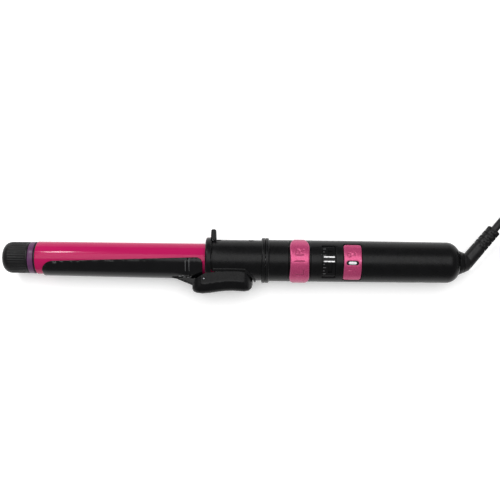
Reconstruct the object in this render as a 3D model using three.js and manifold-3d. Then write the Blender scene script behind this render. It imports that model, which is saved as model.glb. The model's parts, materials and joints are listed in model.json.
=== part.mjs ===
// Automatic hair curler: a heated barrel with a spring clamp that a small gearmotor turns, a handle with
// three controls on its upper side, and a mains cord on a swivel. It lies on a table, lever towards -Y and
// rest fin towards +Y.
// Millimetres. X runs along the barrel from the cool tip to the cord, measured here from the joint between
// the turning head and the handle. Z is measured from the barrel's axis, and for the cord from the table.
// The last lines lift the axis to its height and move the origin to the object's bottom centre.
// Angles round the axis are 0 at +Z and positive towards -Y.

import * as THREE from "three";
import { mergeVertices } from "three/addons/utils/BufferGeometryUtils.js";
import Module from "manifold-3d";

const wasm = await Module();
wasm.setup();

// ---- Driving dimensions ---------------------------------------------------------------------------------

const GAP = 0.3; // clearance between pieces that touch
const SIDES = 28; // facets round a large turned piece
const INNER_SIDES = 16; // facets round a turned piece inside the object
const SMALL_SIDES = 10; // facets round a pin, wire or boss

const AXIS_HEIGHT = 18; // the beads at the joint rest on the table

const TIP_X = -207.2; // flat end face of the cool tip
const TIP_RADIUS = 12.1;
const TIP_END_X = -187;
const RING_RADIUS = 12.3;
const RING_END_X = -182.4;
const BARREL_START_X = -180.9;
const BARREL_END_X = -40;
const BARREL_RADIUS = 13;
const BARREL_BORE = 12;

const FLANGE_FRONT_X = -46.4;
const FLANGE_BACK_X = -42.4;
const FLANGE_RADIUS = 17.9;
const SLEEVE_RADIUS = 16.1;
const SLEEVE_BORE = 14.5;
const BEAD_RADIUS = 18;
const BEAD_WIDTH = 2.7;
const FIN_TOP_Y = 24.4;
const WINDOW_HALF_WIDTH = 13.3; // half width of the lever's window in the head sleeve
const SLEEVE_SCREW_X = [-37.2, -11.2];

const PIN_X = -47.9; // the clamp's hinge pin, along Z
const PIN_Y = -14.5;
const PIN_RADIUS = 0.9;
const PLATE_START_X = -175.2;
const PLATE_END_X = -49.1;
const PLATE_RADIUS_FRONT = 14.2;
const PLATE_RADIUS_ROOT = 15.5;
const PLATE_THICKNESS = 0.8;
const LEVER_CLEARANCE = 0.5; // between the lever and the edge of its window
const LEVER_HALF_WIDTH = WINDOW_HALF_WIDTH - LEVER_CLEARANCE;
const LEVER_WALL = 1.4;

const SPINDLE_RADIUS = 5;
const SPINDLE_BORE = 3.4;
const GEAR_MODULE = 0.5;
const GEAR_TEETH = 20;
const PINION_TEETH = 12;
const GEAR_X = [27.5, 31.5];
const MOTOR_Z = (-GEAR_MODULE * (GEAR_TEETH + PINION_TEETH)) / 2;

const HANDLE_RADIUS = 16.5;
const HANDLE_RADIUS_REAR = 16.2;
const HANDLE_BORE = 14.7;
const DOME_START_X = 145.2;
const HANDLE_END_X = 153.6;
const CONE_RADIUS = 10.2;
const NECK_RADIUS = 7.9;
const BOSS_Y = 11.2; // the handle's screws stand at both sides of the control board
const HANDLE_SCREW_X = [42, 126];

const DIRECTION_X = [19, 34.5];
const DIRECTION_ANGLES = [-77, 89];
const DIRECTION_RADII = [16.4, 17.6];
const DIRECTION_TRAVEL = 8;
const WINDOW_X = [44.1, 55];
const WINDOW_ANGLES = [-48, 52];
const KNOB_ANGLE = -6;
const ROCKER_X = [61.2, 75];
const ROCKER_ANGLES = [-54, 62];
const ROCKER_RADII = [15, 16.4];
const LENS_ANGLE = 3.5;

const COLLAR_END_X = 157.6;
const ELBOW_X = 160.6;
const BOOT_DIRECTION = (50 * Math.PI) / 180; // the strain relief turns towards +Y
const BOOT_LENGTH = 34.6;
const BOOT_RADII = [5.75, 5.4];

const CORD_DIAMETER = 6;
const COIL_CENTRE = [243, 9];
const COIL_TURN_RADII = [25, 31, 37, 43]; // four turns beside each other, in two layers
const COIL_LAYERS = 2;
const PLUG_HALF_THICKNESS = 6.9;
const PLUG_AXIS_HEIGHT = 19.1; // the plug lies on the coil
const PLUG_ENTRY = [264, 33];
const PLUG_PIN_SPACING = 19;
const PLUG_PIN_LENGTH = 19;

// The cord's way from the strain relief down to the coil, and from the coil to the plug, as X, Y and height
// above the table.
const LEAD_ROUTE = [
  [183.0, 26.7, 18],
  [187.5, 32.1, 17.8],
  [192.2, 37.1, 17.1],
  [197.4, 41.5, 15.5],
  [203.1, 45.2, 13.0],
  [209.2, 48.1, 9.8],
  [215.5, 50.2, 6.6],
];
const TAIL_ROUTE = [
  [261.6, 43, 16.3],
  [263.2, 39.5, 17.8],
  [263.9, 36.4, 18.7],
  [264, 33.3, 19.1],
];

// ---- Materials ------------------------------------------------------------------------------------------

const finish = (color, roughness, metalness = 0) =>
  new THREE.MeshStandardMaterial({ color, roughness, metalness });

const blackSatin = finish(0x161618, 0.42);
const blackMatte = finish(0x101012, 0.6);
const blackRubber = finish(0x131315, 0.7);
const glossBlack = finish(0x0c0c0e, 0.15, 0.3);
const pinkBarrel = finish(0xc81e62, 0.25, 0.35);
const pinkPearl = finish(0xcd467d, 0.3, 0.2);
const purpleClear = finish(0x583255, 0.2);
const clearLens = finish(0xe8e8ea, 0.1);
const ceramic = finish(0xe6dfd2, 0.6);
const aluminium = finish(0xb9bcc0, 0.4, 0.9);
const steel = finish(0x9da0a4, 0.3, 1);
const brass = finish(0xc9a24a, 0.3, 1);
const carbon = finish(0x2b2b2d, 0.5, 0.4);
const naturalPlastic = finish(0xd8d2c2, 0.5);
const boardGreen = finish(0x1f5a3a, 0.5);
const heatSleeve = finish(0xd9d5c8, 0.7);

// ---- Solids ---------------------------------------------------------------------------------------------

// A closed three.js geometry as a solid, with its faces turned outwards.
function solid(geometry) {
  const bare = geometry.clone();
  bare.deleteAttribute("normal");
  bare.deleteAttribute("uv");
  const merged = mergeVertices(bare, 1e-4);
  const triVerts = new Uint32Array(merged.index.array);
  const vertProperties = merged.attributes.position.array;
  const build = () => new wasm.Manifold(new wasm.Mesh({ numProp: 3, vertProperties, triVerts }));
  const made = build();
  if (made.volume() > 0) return made;
  for (let i = 0; i < triVerts.length; i += 3) {
    [triVerts[i + 1], triVerts[i + 2]] = [triVerts[i + 2], triVerts[i + 1]];
  }
  return build();
}

// A solid back as a three.js geometry with flat faces.
function geometryOf(shape) {
  const mesh = shape.getMesh();
  const count = mesh.numProp;
  const positions = new Float32Array(mesh.numVert * 3);
  for (let i = 0; i < mesh.numVert; i++) {
    positions.set(mesh.vertProperties.subarray(i * count, i * count + 3), i * 3);
  }
  const geometry = new THREE.BufferGeometry();
  geometry.setAttribute("position", new THREE.BufferAttribute(positions, 3));
  geometry.setIndex(new THREE.BufferAttribute(mesh.triVerts, 1));
  const flat = geometry.toNonIndexed();
  flat.computeVertexNormals();
  return flat;
}

const joined = (shapes) => shapes.reduce((whole, shape) => whole.add(shape));
const cutBy = (whole, cutters) => cutters.reduce((rest, cutter) => rest.subtract(cutter), whole);

// A profile of [x, radius] points turned round the X axis.
function turned(profile, sides = SIDES) {
  const points = profile.map(([x, radius]) => new THREE.Vector2(radius, x));
  return solid(new THREE.LatheGeometry(points, sides).rotateZ(-Math.PI / 2));
}

function tube(startX, endX, bore, radius, sides = SIDES) {
  return turned([[startX, bore], [startX, radius], [endX, radius], [endX, bore], [startX, bore]], sides);
}

// A round bar between two points, which may taper.
function rod(start, end, radius, sides = SMALL_SIDES, endRadius = radius) {
  const from = new THREE.Vector3(...start);
  const to = new THREE.Vector3(...end);
  const along = to.clone().sub(from);
  const geometry = new THREE.CylinderGeometry(endRadius, radius, along.length(), sides);
  geometry.applyQuaternion(
    new THREE.Quaternion().setFromUnitVectors(new THREE.Vector3(0, 1, 0), along.normalize()),
  );
  const middle = from.add(to).multiplyScalar(0.5);
  return solid(geometry.translate(middle.x, middle.y, middle.z));
}

function block([x0, x1], [y0, y1], [z0, z1]) {
  const geometry = new THREE.BoxGeometry(x1 - x0, y1 - y0, z1 - z0);
  return solid(geometry.translate((x0 + x1) / 2, (y0 + y1) / 2, (z0 + z1) / 2));
}

// An outline in X and Y, as deep as from z0 to z1.
function plateAcrossZ(shape, z0, z1, curveSegments = 4) {
  const options = { depth: z1 - z0, bevelEnabled: false, curveSegments };
  return solid(new THREE.ExtrudeGeometry(shape, options).translate(0, 0, z0));
}

// An outline in X and Z, as deep as from y0 to y1.
function plateAcrossY(shape, y0, y1) {
  const geometry = new THREE.ExtrudeGeometry(shape, { depth: y1 - y0, bevelEnabled: false });
  return solid(geometry.translate(0, 0, -y1).rotateX(Math.PI / 2));
}

// An outline in Y and Z, drawn along X from x0 to x1.
const ALONG_X = new THREE.Matrix4().makeBasis(
  new THREE.Vector3(0, 1, 0),
  new THREE.Vector3(0, 0, 1),
  new THREE.Vector3(1, 0, 0),
);
function barAlongX(shape, x0, x1, curveSegments = 8) {
  const options = { depth: x1 - x0, bevelEnabled: false, curveSegments };
  return solid(new THREE.ExtrudeGeometry(shape, options).applyMatrix4(ALONG_X).translate(x0, 0, 0));
}

// A piece of tube wall between two angles round the axis.
function wallSector([x0, x1], [inner, outer], [from, to]) {
  const start = THREE.MathUtils.degToRad(90 + from);
  const end = THREE.MathUtils.degToRad(90 + to);
  const shape = new THREE.Shape();
  shape.absarc(0, 0, outer, start, end, false);
  shape.absarc(0, 0, inner, end, start, true);
  shape.closePath();
  return barAlongX(shape, x0, x1, Math.max(2, Math.round((to - from) / 20)));
}

function outline(points) {
  return new THREE.Shape(points.map(([a, b]) => new THREE.Vector2(a, b)));
}

// ---- The scene graph ------------------------------------------------------------------------------------

const curler = new THREE.Group();
const cord = new THREE.Group();

function add(group, name, shape, material) {
  const mesh = new THREE.Mesh(geometryOf(shape), material);
  mesh.name = name;
  group.add(mesh);
  return mesh;
}

// A pan-head screw with a cross recess: its head's top is at the origin and it points along -Y.
const SCREW_HEAD_RADIUS = 1.7;
const SCREW_HEAD_HEIGHT = 1.4;
const SCREW_SHANK_RADIUS = 1;
function screwSolid(length) {
  const head = rod([0, -SCREW_HEAD_HEIGHT, 0], [0, 0, 0], SCREW_HEAD_RADIUS, 10, 1.3);
  const shank = rod([0, -length, 0], [0, -SCREW_HEAD_HEIGHT + 0.1, 0], SCREW_SHANK_RADIUS, 6);
  const slot = block([-1, 1], [-0.7, 0.2], [-0.2, 0.2]);
  const cross = block([-0.2, 0.2], [-0.7, 0.2], [-1, 1]);
  return cutBy(head.add(shank), [slot, cross]);
}

function addScrew(name, headTop, direction, length) {
  const mesh = add(curler, name, screwSolid(length), steel);
  mesh.position.set(...headTop);
  mesh.quaternion.setFromUnitVectors(new THREE.Vector3(0, -1, 0), new THREE.Vector3(...direction));
}

// ---- Cool tip, ring and barrel --------------------------------------------------------------------------

function buildTip() {
  const fillet = 3;
  const cap = turned([
    [TIP_X, 0],
    [TIP_X, TIP_RADIUS - fillet],
    [TIP_X + 0.45, TIP_RADIUS - 1.4],
    [TIP_X + 1.4, TIP_RADIUS - 0.45],
    [TIP_X + fillet, TIP_RADIUS],
    [TIP_END_X, TIP_RADIUS + 0.15],
    [TIP_END_X, 10.2],
    [TIP_X + 4, 10.2],
    [TIP_X + 4, 0],
  ]);
  add(curler, "tip_cap", cap, blackMatte);

  const ringStart = TIP_END_X + GAP;
  const ring = turned([
    [ringStart, 10.9],
    [ringStart, RING_RADIUS - 0.3],
    [ringStart + 0.4, RING_RADIUS],
    [RING_END_X - 0.4, RING_RADIUS],
    [RING_END_X, RING_RADIUS - 0.3],
    [RING_END_X, 10.9],
    [ringStart, 10.9],
  ]);
  add(curler, "tip_ring", ring, purpleClear);

  const bore = 6.5;
  const bush = turned([
    [TIP_END_X - 9, bore],
    [TIP_END_X - 9, 9.9],
    [TIP_END_X, 9.9],
    [TIP_END_X + GAP, 10.6],
    [RING_END_X + GAP, 10.6],
    [RING_END_X + GAP, 12.1],
    [BARREL_START_X - GAP, 12.1],
    [BARREL_START_X - GAP, BARREL_BORE - GAP],
    [BARREL_START_X + 7, BARREL_BORE - GAP],
    [BARREL_START_X + 7, bore],
    [TIP_END_X - 9, bore],
  ], INNER_SIDES);
  add(curler, "tip_bush", bush, blackMatte);
}

function buildBarrel() {
  const barrel = turned([
    [BARREL_START_X, BARREL_BORE],
    [BARREL_START_X, BARREL_RADIUS - 0.7],
    [BARREL_START_X + 0.25, BARREL_RADIUS - 0.2],
    [BARREL_START_X + 0.8, BARREL_RADIUS],
    [BARREL_END_X, BARREL_RADIUS],
    [BARREL_END_X, BARREL_BORE],
    [BARREL_START_X, BARREL_BORE],
  ]);
  add(curler, "barrel_tube", barrel, pinkBarrel);
}

// ---- Heater ---------------------------------------------------------------------------------------------

const HEATER_X = [-165, -65];

function buildHeater() {
  const halfThickness = 1.4;
  add(curler, "heater_plate", block(HEATER_X, [-8, 8], [-halfThickness, halfThickness]), ceramic);

  // Each aluminium spreader is a hollow half round that presses the heater plate's heat into the barrel.
  const outer = BARREL_BORE - GAP;
  const inner = outer - 2.2;
  const base = halfThickness + GAP;
  const spreaderX = [HEATER_X[0] - 3, HEATER_X[1] + 3];
  const halfRound = (radius, lowest) => {
    const shape = new THREE.Shape();
    const start = Math.asin(lowest / radius);
    shape.absarc(0, 0, radius, start, Math.PI - start, false);
    shape.closePath();
    return shape;
  };
  const body = barAlongX(halfRound(outer, base), ...spreaderX, 10);
  const channel = barAlongX(halfRound(inner, base + 1.8), spreaderX[0] - 1, spreaderX[1] + 1, 8);
  const spreader = body.subtract(channel);
  add(curler, "heat_spreader_upper", spreader, aluminium);
  add(curler, "heat_spreader_lower", spreader, aluminium).rotation.x = Math.PI;

  const behindHeater = spreaderX[1] + 1;
  add(curler, "temperature_sensor", rod([behindHeater, -5, 0], [behindHeater + 5, -5, 0], 1.2, 8), ceramic);
  add(curler, "thermal_fuse", rod([behindHeater, 0, 6], [behindHeater + 10, 0, 6], 1.9, 10), steel);
  add(curler, "heater_leads", rod([behindHeater, 0, 0], [13, 0, 0], 1.6, 8), heatSleeve);
}

// ---- Turning head ---------------------------------------------------------------------------------------

const BUSH_X = [-43, -33.5];
const FLAT_Y = -5.5; // the head's inner pieces are cut flat here, to leave room for the lever
const SPINDLE_SCREW = [6.5, 5];
const BRACKET_SCREW = [-36.4, 7.6];
const SLEEVE_SCREW_SEAT_Y = 12.2; // the heads sit in the bush and the carrier, inside the sleeve's wall

function sleeveScrewHole(x) {
  const seat = rod([x, 20, 0], [x, SLEEVE_SCREW_SEAT_Y, 0], 2.1, 10);
  return seat.add(rod([x, SLEEVE_SCREW_SEAT_Y + 1, 0], [x, 7.5, 0], 1.3, 6));
}

function buildBarrelBush() {
  const pocketEnd = BARREL_END_X + GAP;
  const body = turned([
    [BUSH_X[0], BARREL_RADIUS + GAP],
    [BUSH_X[0], SLEEVE_BORE - GAP],
    [BUSH_X[1], SLEEVE_BORE - GAP],
    [BUSH_X[1], SPINDLE_RADIUS + GAP],
    [pocketEnd, SPINDLE_RADIUS + GAP],
    [pocketEnd, BARREL_RADIUS + GAP],
    [BUSH_X[0], BARREL_RADIUS + GAP],
  ], INNER_SIDES);
  const cuts = [
    block([BUSH_X[0] - 1, BUSH_X[1] + 1], [-20, FLAT_Y], [-20, 20]),
    sleeveScrewHole(SLEEVE_SCREW_X[0]),
  ];
  for (const side of [-1, 1]) {
    const [y, z] = [SPINDLE_SCREW[0], side * SPINDLE_SCREW[1]];
    cuts.push(rod([BUSH_X[1] + 1, y, z], [BUSH_X[1] - 5, y, z], 1.3, 6));
  }
  const [screwX, screwZ] = BRACKET_SCREW;
  cuts.push(rod([screwX, FLAT_Y - 1, screwZ], [screwX, FLAT_Y + 4.5, screwZ], 1.3, 6));
  add(curler, "barrel_bush", cutBy(body, cuts), naturalPlastic);
}

// The lever's window, seen from the lever's side: straight edges and a round rear end, drawn in by an inset.
const WINDOW_END = [
  [-20, 0],
  [-15.5, 0.5],
  [-12.6, 2.4],
  [-10.7, 5],
  [-9.4, 8.3],
  [-8.9, 11.3],
];
function leverPlan(frontX, inset) {
  const edge = WINDOW_END.map(([x, narrowing]) => [x - inset, WINDOW_HALF_WIDTH - narrowing - inset]);
  const upper = [[frontX, WINDOW_HALF_WIDTH - inset], ...edge];
  const lower = upper.map(([x, z]) => [x, -z]).reverse();
  return outline([...upper, ...lower]);
}

function buildHeadSleeve() {
  const beadStart = -BEAD_WIDTH - GAP / 2;
  const beadEnd = -GAP / 2;
  const body = turned([
    [FLANGE_FRONT_X, BARREL_RADIUS + 0.4],
    [FLANGE_FRONT_X, FLANGE_RADIUS - 1.6],
    [FLANGE_FRONT_X + 0.6, FLANGE_RADIUS - 0.5],
    [FLANGE_FRONT_X + 1.8, FLANGE_RADIUS],
    [FLANGE_BACK_X - 0.6, FLANGE_RADIUS],
    [FLANGE_BACK_X, FLANGE_RADIUS - 0.6],
    [FLANGE_BACK_X, SLEEVE_RADIUS - 0.5],
    [FLANGE_BACK_X + 0.9, SLEEVE_RADIUS - 0.5],
    [FLANGE_BACK_X + 0.9, SLEEVE_RADIUS],
    [beadStart, SLEEVE_RADIUS],
    [beadStart + 0.4, BEAD_RADIUS - 0.6],
    [beadStart + 1, BEAD_RADIUS],
    [beadEnd - 0.7, BEAD_RADIUS],
    [beadEnd, BEAD_RADIUS - 0.6],
    [beadEnd, SLEEVE_BORE],
    [BUSH_X[0] - GAP, SLEEVE_BORE],
    [BUSH_X[0] - GAP, BARREL_RADIUS + 0.4],
    [FLANGE_FRONT_X, BARREL_RADIUS + 0.4],
  ]);

  // The rest fin, a rounded tab that leans slightly forward.
  const finHalfWidth = 6;
  const fin = plateAcrossZ(
    outline([
      [-43, 15],
      [-42.5, FIN_TOP_Y - 1.5],
      [-42, FIN_TOP_Y - 0.5],
      [-41.4, FIN_TOP_Y],
      [-40.2, FIN_TOP_Y],
      [-39.6, FIN_TOP_Y - 0.5],
      [-39.3, FIN_TOP_Y - 1.5],
      [-39, 15],
    ]),
    -finHalfWidth,
    finHalfWidth,
  );

  const window = plateAcrossY(leverPlan(FLANGE_FRONT_X - 1, 0), -25, -3.4);
  const cuts = [window];
  for (const x of SLEEVE_SCREW_X) cuts.push(rod([x, 20, 0], [x, 10, 0], 2.1, 10));
  add(curler, "head_sleeve", cutBy(body.add(fin), cuts), blackSatin);
}

function buildSleeveCarrier() {
  const x = [-14, -4];
  const ring = tube(-9, x[1], SPINDLE_RADIUS + GAP, SPINDLE_RADIUS + 1.9, INNER_SIDES);
  const upper = tube(...x, SPINDLE_RADIUS + GAP, SLEEVE_BORE - GAP, INNER_SIDES);
  const lowerHalf = block([x[0] - 1, x[1] + 1], [-20, 1.5], [-20, 20]);
  const body = ring.add(upper.subtract(lowerHalf)).subtract(sleeveScrewHole(SLEEVE_SCREW_X[1]));
  add(curler, "sleeve_carrier", body, naturalPlastic);
}

function buildHingeBracket() {
  const cheek = [9.4, 10.9];
  const topY = FLAT_Y - GAP;
  const side = outline([
    [PIN_X - 1.4, PIN_Y + 1.4],
    [PIN_X - 2, PIN_Y],
    [PIN_X - 1.4, PIN_Y - 1.4],
    [PIN_X, PIN_Y - 2],
    [-36, PIN_Y - 2],
    [-34, PIN_Y + 1],
    [-34, topY],
    [BARREL_END_X + 0.8, topY],
    [BARREL_END_X + 0.8, -9.5],
    [-44, -10.5],
    [PIN_X, PIN_Y + 2],
  ]);
  const tail = block([BARREL_END_X + 0.8, -34], [topY - 1.2, topY], [-cheek[1], cheek[1]]);
  const springSeat = block([-34.5, -22], [topY - 1.2, topY], [-5.5, 5.5]);
  const bridge = block([-45.5, BARREL_END_X], [PIN_Y - 0.6, PIN_Y + 0.6], [-cheek[1], cheek[1]]);
  const body = joined([
    plateAcrossZ(side, cheek[0], cheek[1]),
    plateAcrossZ(side, -cheek[1], -cheek[0]),
    bridge,
    tail,
    springSeat,
  ]);
  const holes = [rod([PIN_X, PIN_Y, -20], [PIN_X, PIN_Y, 20], PIN_RADIUS + GAP, 12)];
  const [screwX, screwZ] = BRACKET_SCREW;
  holes.push(rod([screwX, -9, screwZ], [screwX, -4, screwZ], 1.3, 6));
  add(curler, "hinge_bracket", cutBy(body, holes), steel);

  const headZ = LEVER_HALF_WIDTH + GAP;
  const pin = joined([
    rod([PIN_X, PIN_Y, -headZ - 0.2], [PIN_X, PIN_Y, headZ + 0.2], PIN_RADIUS, 12),
    rod([PIN_X, PIN_Y, headZ], [PIN_X, PIN_Y, headZ + 0.7], 1.6, 12, 1.2),
    rod([PIN_X, PIN_Y, -headZ], [PIN_X, PIN_Y, -headZ - 0.7], 1.6, 12, 1.2),
  ]);
  add(curler, "hinge_pin", pin, steel);

  const headTop = topY - 1.2 - GAP - SCREW_HEAD_HEIGHT;
  addScrew("bracket_screw", [screwX, headTop, screwZ], [0, 1, 0], 6.4);
}

function buildSpindle() {
  const flange = [BUSH_X[1] + GAP, BUSH_X[1] + GAP + 2];
  const stubRadius = 3;
  const stubStart = 21.8;
  const body = turned(
    [
      [flange[0], SPINDLE_BORE],
      [flange[0], 11],
      [flange[1], 11],
      [flange[1], SPINDLE_RADIUS],
      [stubStart, SPINDLE_RADIUS],
      [stubStart, stubRadius + 0.9],
      [26.4, stubRadius + 0.9],
      [26.4, stubRadius],
      [GEAR_X[1] + 0.5, stubRadius],
      [GEAR_X[1] + 0.5, 0],
      [15, 0],
      [15, SPINDLE_BORE],
      [flange[0], SPINDLE_BORE],
    ],
    INNER_SIDES,
  );
  const cuts = [block([flange[0] - 1, flange[1] + 0.1], [-20, FLAT_Y + 0.1], [-20, 20])];
  for (const side of [-1, 1]) {
    const [y, z] = [SPINDLE_SCREW[0], side * SPINDLE_SCREW[1]];
    cuts.push(rod([flange[0] - 1, y, z], [flange[1] + 1, y, z], 1.3, 6));
  }
  add(curler, "spindle", cutBy(body, cuts), steel);

  const headTop = flange[1] + GAP + SCREW_HEAD_HEIGHT;
  addScrew("spindle_screw_left", [headTop, SPINDLE_SCREW[0], -SPINDLE_SCREW[1]], [-1, 0, 0], 7.6);
  addScrew("spindle_screw_right", [headTop, SPINDLE_SCREW[0], SPINDLE_SCREW[1]], [-1, 0, 0], 7.6);
  const sleeveHeadTop = SLEEVE_SCREW_SEAT_Y + GAP + SCREW_HEAD_HEIGHT;
  addScrew("sleeve_screw_front", [SLEEVE_SCREW_X[0], sleeveHeadTop, 0], [0, -1, 0], 5.8);
  addScrew("sleeve_screw_rear", [SLEEVE_SCREW_X[1], sleeveHeadTop, 0], [0, -1, 0], 5.8);
}

// ---- Slip rings and drive -------------------------------------------------------------------------------

const DRUM_X = [11, 21];
const SLIP_RINGS = [["live", 12.4], ["neutral", 16.6]];
const SLIP_RING_WIDTH = 3;
const SLIP_RING_RADIUS = 8.6;

function buildSlipRings() {
  const grooveRadius = 7;
  let drum = tube(...DRUM_X, SPINDLE_RADIUS + GAP, 8.2, INNER_SIDES);
  for (const [name, x] of SLIP_RINGS) {
    const groove = [x - GAP, x + SLIP_RING_WIDTH + GAP];
    drum = drum.subtract(tube(...groove, grooveRadius, 9, INNER_SIDES));
    const ring = tube(x, x + SLIP_RING_WIDTH, grooveRadius + GAP, SLIP_RING_RADIUS, INNER_SIDES);
    add(curler, "slip_ring_" + name, ring, brass);
    const brushY = [SLIP_RING_RADIUS + GAP, SLIP_RING_RADIUS + 2.2];
    add(curler, "brush_" + name, block([x + 0.1, x + SLIP_RING_WIDTH - 0.1], brushY, [-1, 1]), carbon);
  }
  add(curler, "slip_ring_drum", drum, naturalPlastic);
  const holder = block([DRUM_X[0] + 0.2, DRUM_X[1] - 0.2], [SLIP_RING_RADIUS + 2.5, 13.2], [-4, 4]);
  add(curler, "brush_block", holder, blackMatte);
}

// A spur gear's outline with straight-sided teeth, its first tooth centred at the given angle.
function gearOutline(teeth, bore, firstTooth) {
  const pitchRadius = (GEAR_MODULE * teeth) / 2;
  const tip = pitchRadius + 0.8 * GEAR_MODULE;
  const root = pitchRadius - 1.2 * GEAR_MODULE;
  const pitchAngle = (2 * Math.PI) / teeth;
  const points = [];
  for (let i = 0; i < teeth; i++) {
    const middle = firstTooth + i * pitchAngle;
    for (const [radius, share] of [[root, -0.29], [tip, -0.1], [tip, 0.1], [root, 0.29]]) {
      const angle = middle + share * pitchAngle;
      points.push([radius * Math.cos(angle), radius * Math.sin(angle)]);
    }
  }
  const shape = outline(points);
  const hole = new THREE.Path();
  hole.absarc(0, 0, bore, 0, 2 * Math.PI, true);
  shape.holes.push(hole);
  return shape;
}

function buildDrive() {
  const gear = barAlongX(gearOutline(GEAR_TEETH, 3.3, -Math.PI / 2), ...GEAR_X, 8);
  add(curler, "spindle_gear", gear, naturalPlastic);
  const halfTooth = Math.PI / PINION_TEETH;
  const shaftRadius = 1.1;
  const pinionShape = gearOutline(PINION_TEETH, shaftRadius + GAP, Math.PI / 2 + halfTooth);
  const pinion = barAlongX(pinionShape, ...GEAR_X, 6);
  add(curler, "motor_pinion", pinion, brass).position.z = MOTOR_Z;

  const gearboxX = [34.3, 43.3];
  const motorEndX = 58.5;
  const motor = joined([
    block(gearboxX, [-6, 6], [MOTOR_Z - 5, MOTOR_Z + 5]),
    rod([GEAR_X[0] - 0.4, 0, MOTOR_Z], [gearboxX[0] + 1, 0, MOTOR_Z], shaftRadius, 12),
    rod([gearboxX[1] - 1, 0, MOTOR_Z], [motorEndX, 0, MOTOR_Z], 5, 16),
    rod([motorEndX - 0.5, 0, MOTOR_Z], [motorEndX + 1.2, 0, MOTOR_Z], 2.2, 12),
  ]);
  add(curler, "gearmotor", motor, steel);

  const bracket = tube(32.5, 34, 0.8, 14.2, INNER_SIDES);
  const shaftHole = rod([32, 0, MOTOR_Z], [35, 0, MOTOR_Z], shaftRadius + 0.6, 12);
  const upperPart = block([32, 35], [-20, 20], [3, 20]);
  add(curler, "motor_bracket", cutBy(bracket, [shaftHole, upperPart]), steel);
}

// ---- Clamp ----------------------------------------------------------------------------------------------

const RIVET_X = [-51, -35];

function buildClampPlate() {
  const wall = turned([
    [PLATE_START_X, PLATE_RADIUS_FRONT - PLATE_THICKNESS],
    [PLATE_START_X, PLATE_RADIUS_FRONT],
    [PLATE_END_X, PLATE_RADIUS_ROOT],
    [PLATE_END_X, PLATE_RADIUS_ROOT - PLATE_THICKNESS],
    [PLATE_START_X, PLATE_RADIUS_FRONT - PLATE_THICKNESS],
  ]);
  // Seen from the side the half round has a rising edge, a rounded nose and a rounded rear corner.
  const side = outline([
    [PLATE_START_X, -20],
    [PLATE_START_X, -9.5],
    [PLATE_START_X + 1, -6],
    [PLATE_START_X + 3.5, -3.4],
    [PLATE_START_X + 8, -2.3],
    [PLATE_END_X - 4.5, 2.3],
    [PLATE_END_X - 1.4, 1],
    [PLATE_END_X, -2.2],
    [PLATE_END_X, -20],
  ]);
  const shell = wall.intersect(plateAcrossZ(side, -20, 20));
  // The arm leaves the root of the plate and runs slanting down into the lever.
  const arm = plateAcrossZ(
    outline([
      [-72, -14.9],
      [-68, -16.2],
      [-56.4, -22],
      [-31, -22.3],
      [-31, -21.3],
      [-56, -21],
      [-66, -15.6],
      [-70, -14.7],
    ]),
    -6.5,
    6.5,
  );
  const holes = RIVET_X.map((x) => rod([x, -25, 0], [x, -15, 0], 1.3, 10));
  add(curler, "clamp_plate", cutBy(shell.add(arm), holes), glossBlack);
}

// Side view of the thumb lever, from its front end round to the hinge ears.
const LEVER_SIDE = [
  [-57.2, -16.5],
  [-57.4, -22.6],
  [-56.3, -24.9],
  [-53.8, -26.2],
  [-49, -26.6],
  [-43.5, -26.1],
  [-37.5, -25.1],
  [-31.5, -24.4],
  [-25.5, -24.2],
  [-16.5, -24.6],
  [-13.2, -23.9],
  [-10.9, -21.4],
  [-9.7, -18],
  [-9.7, -14],
  [-11.5, -12.5],
  [-15.8, -10],
  [-20, -9.4],
  [-44.5, -9.8],
  [-46.2, -11.6],
  [-47.9, -12.2],
  [-50.2, -13.2],
  [-54, -14.4],
];

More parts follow.
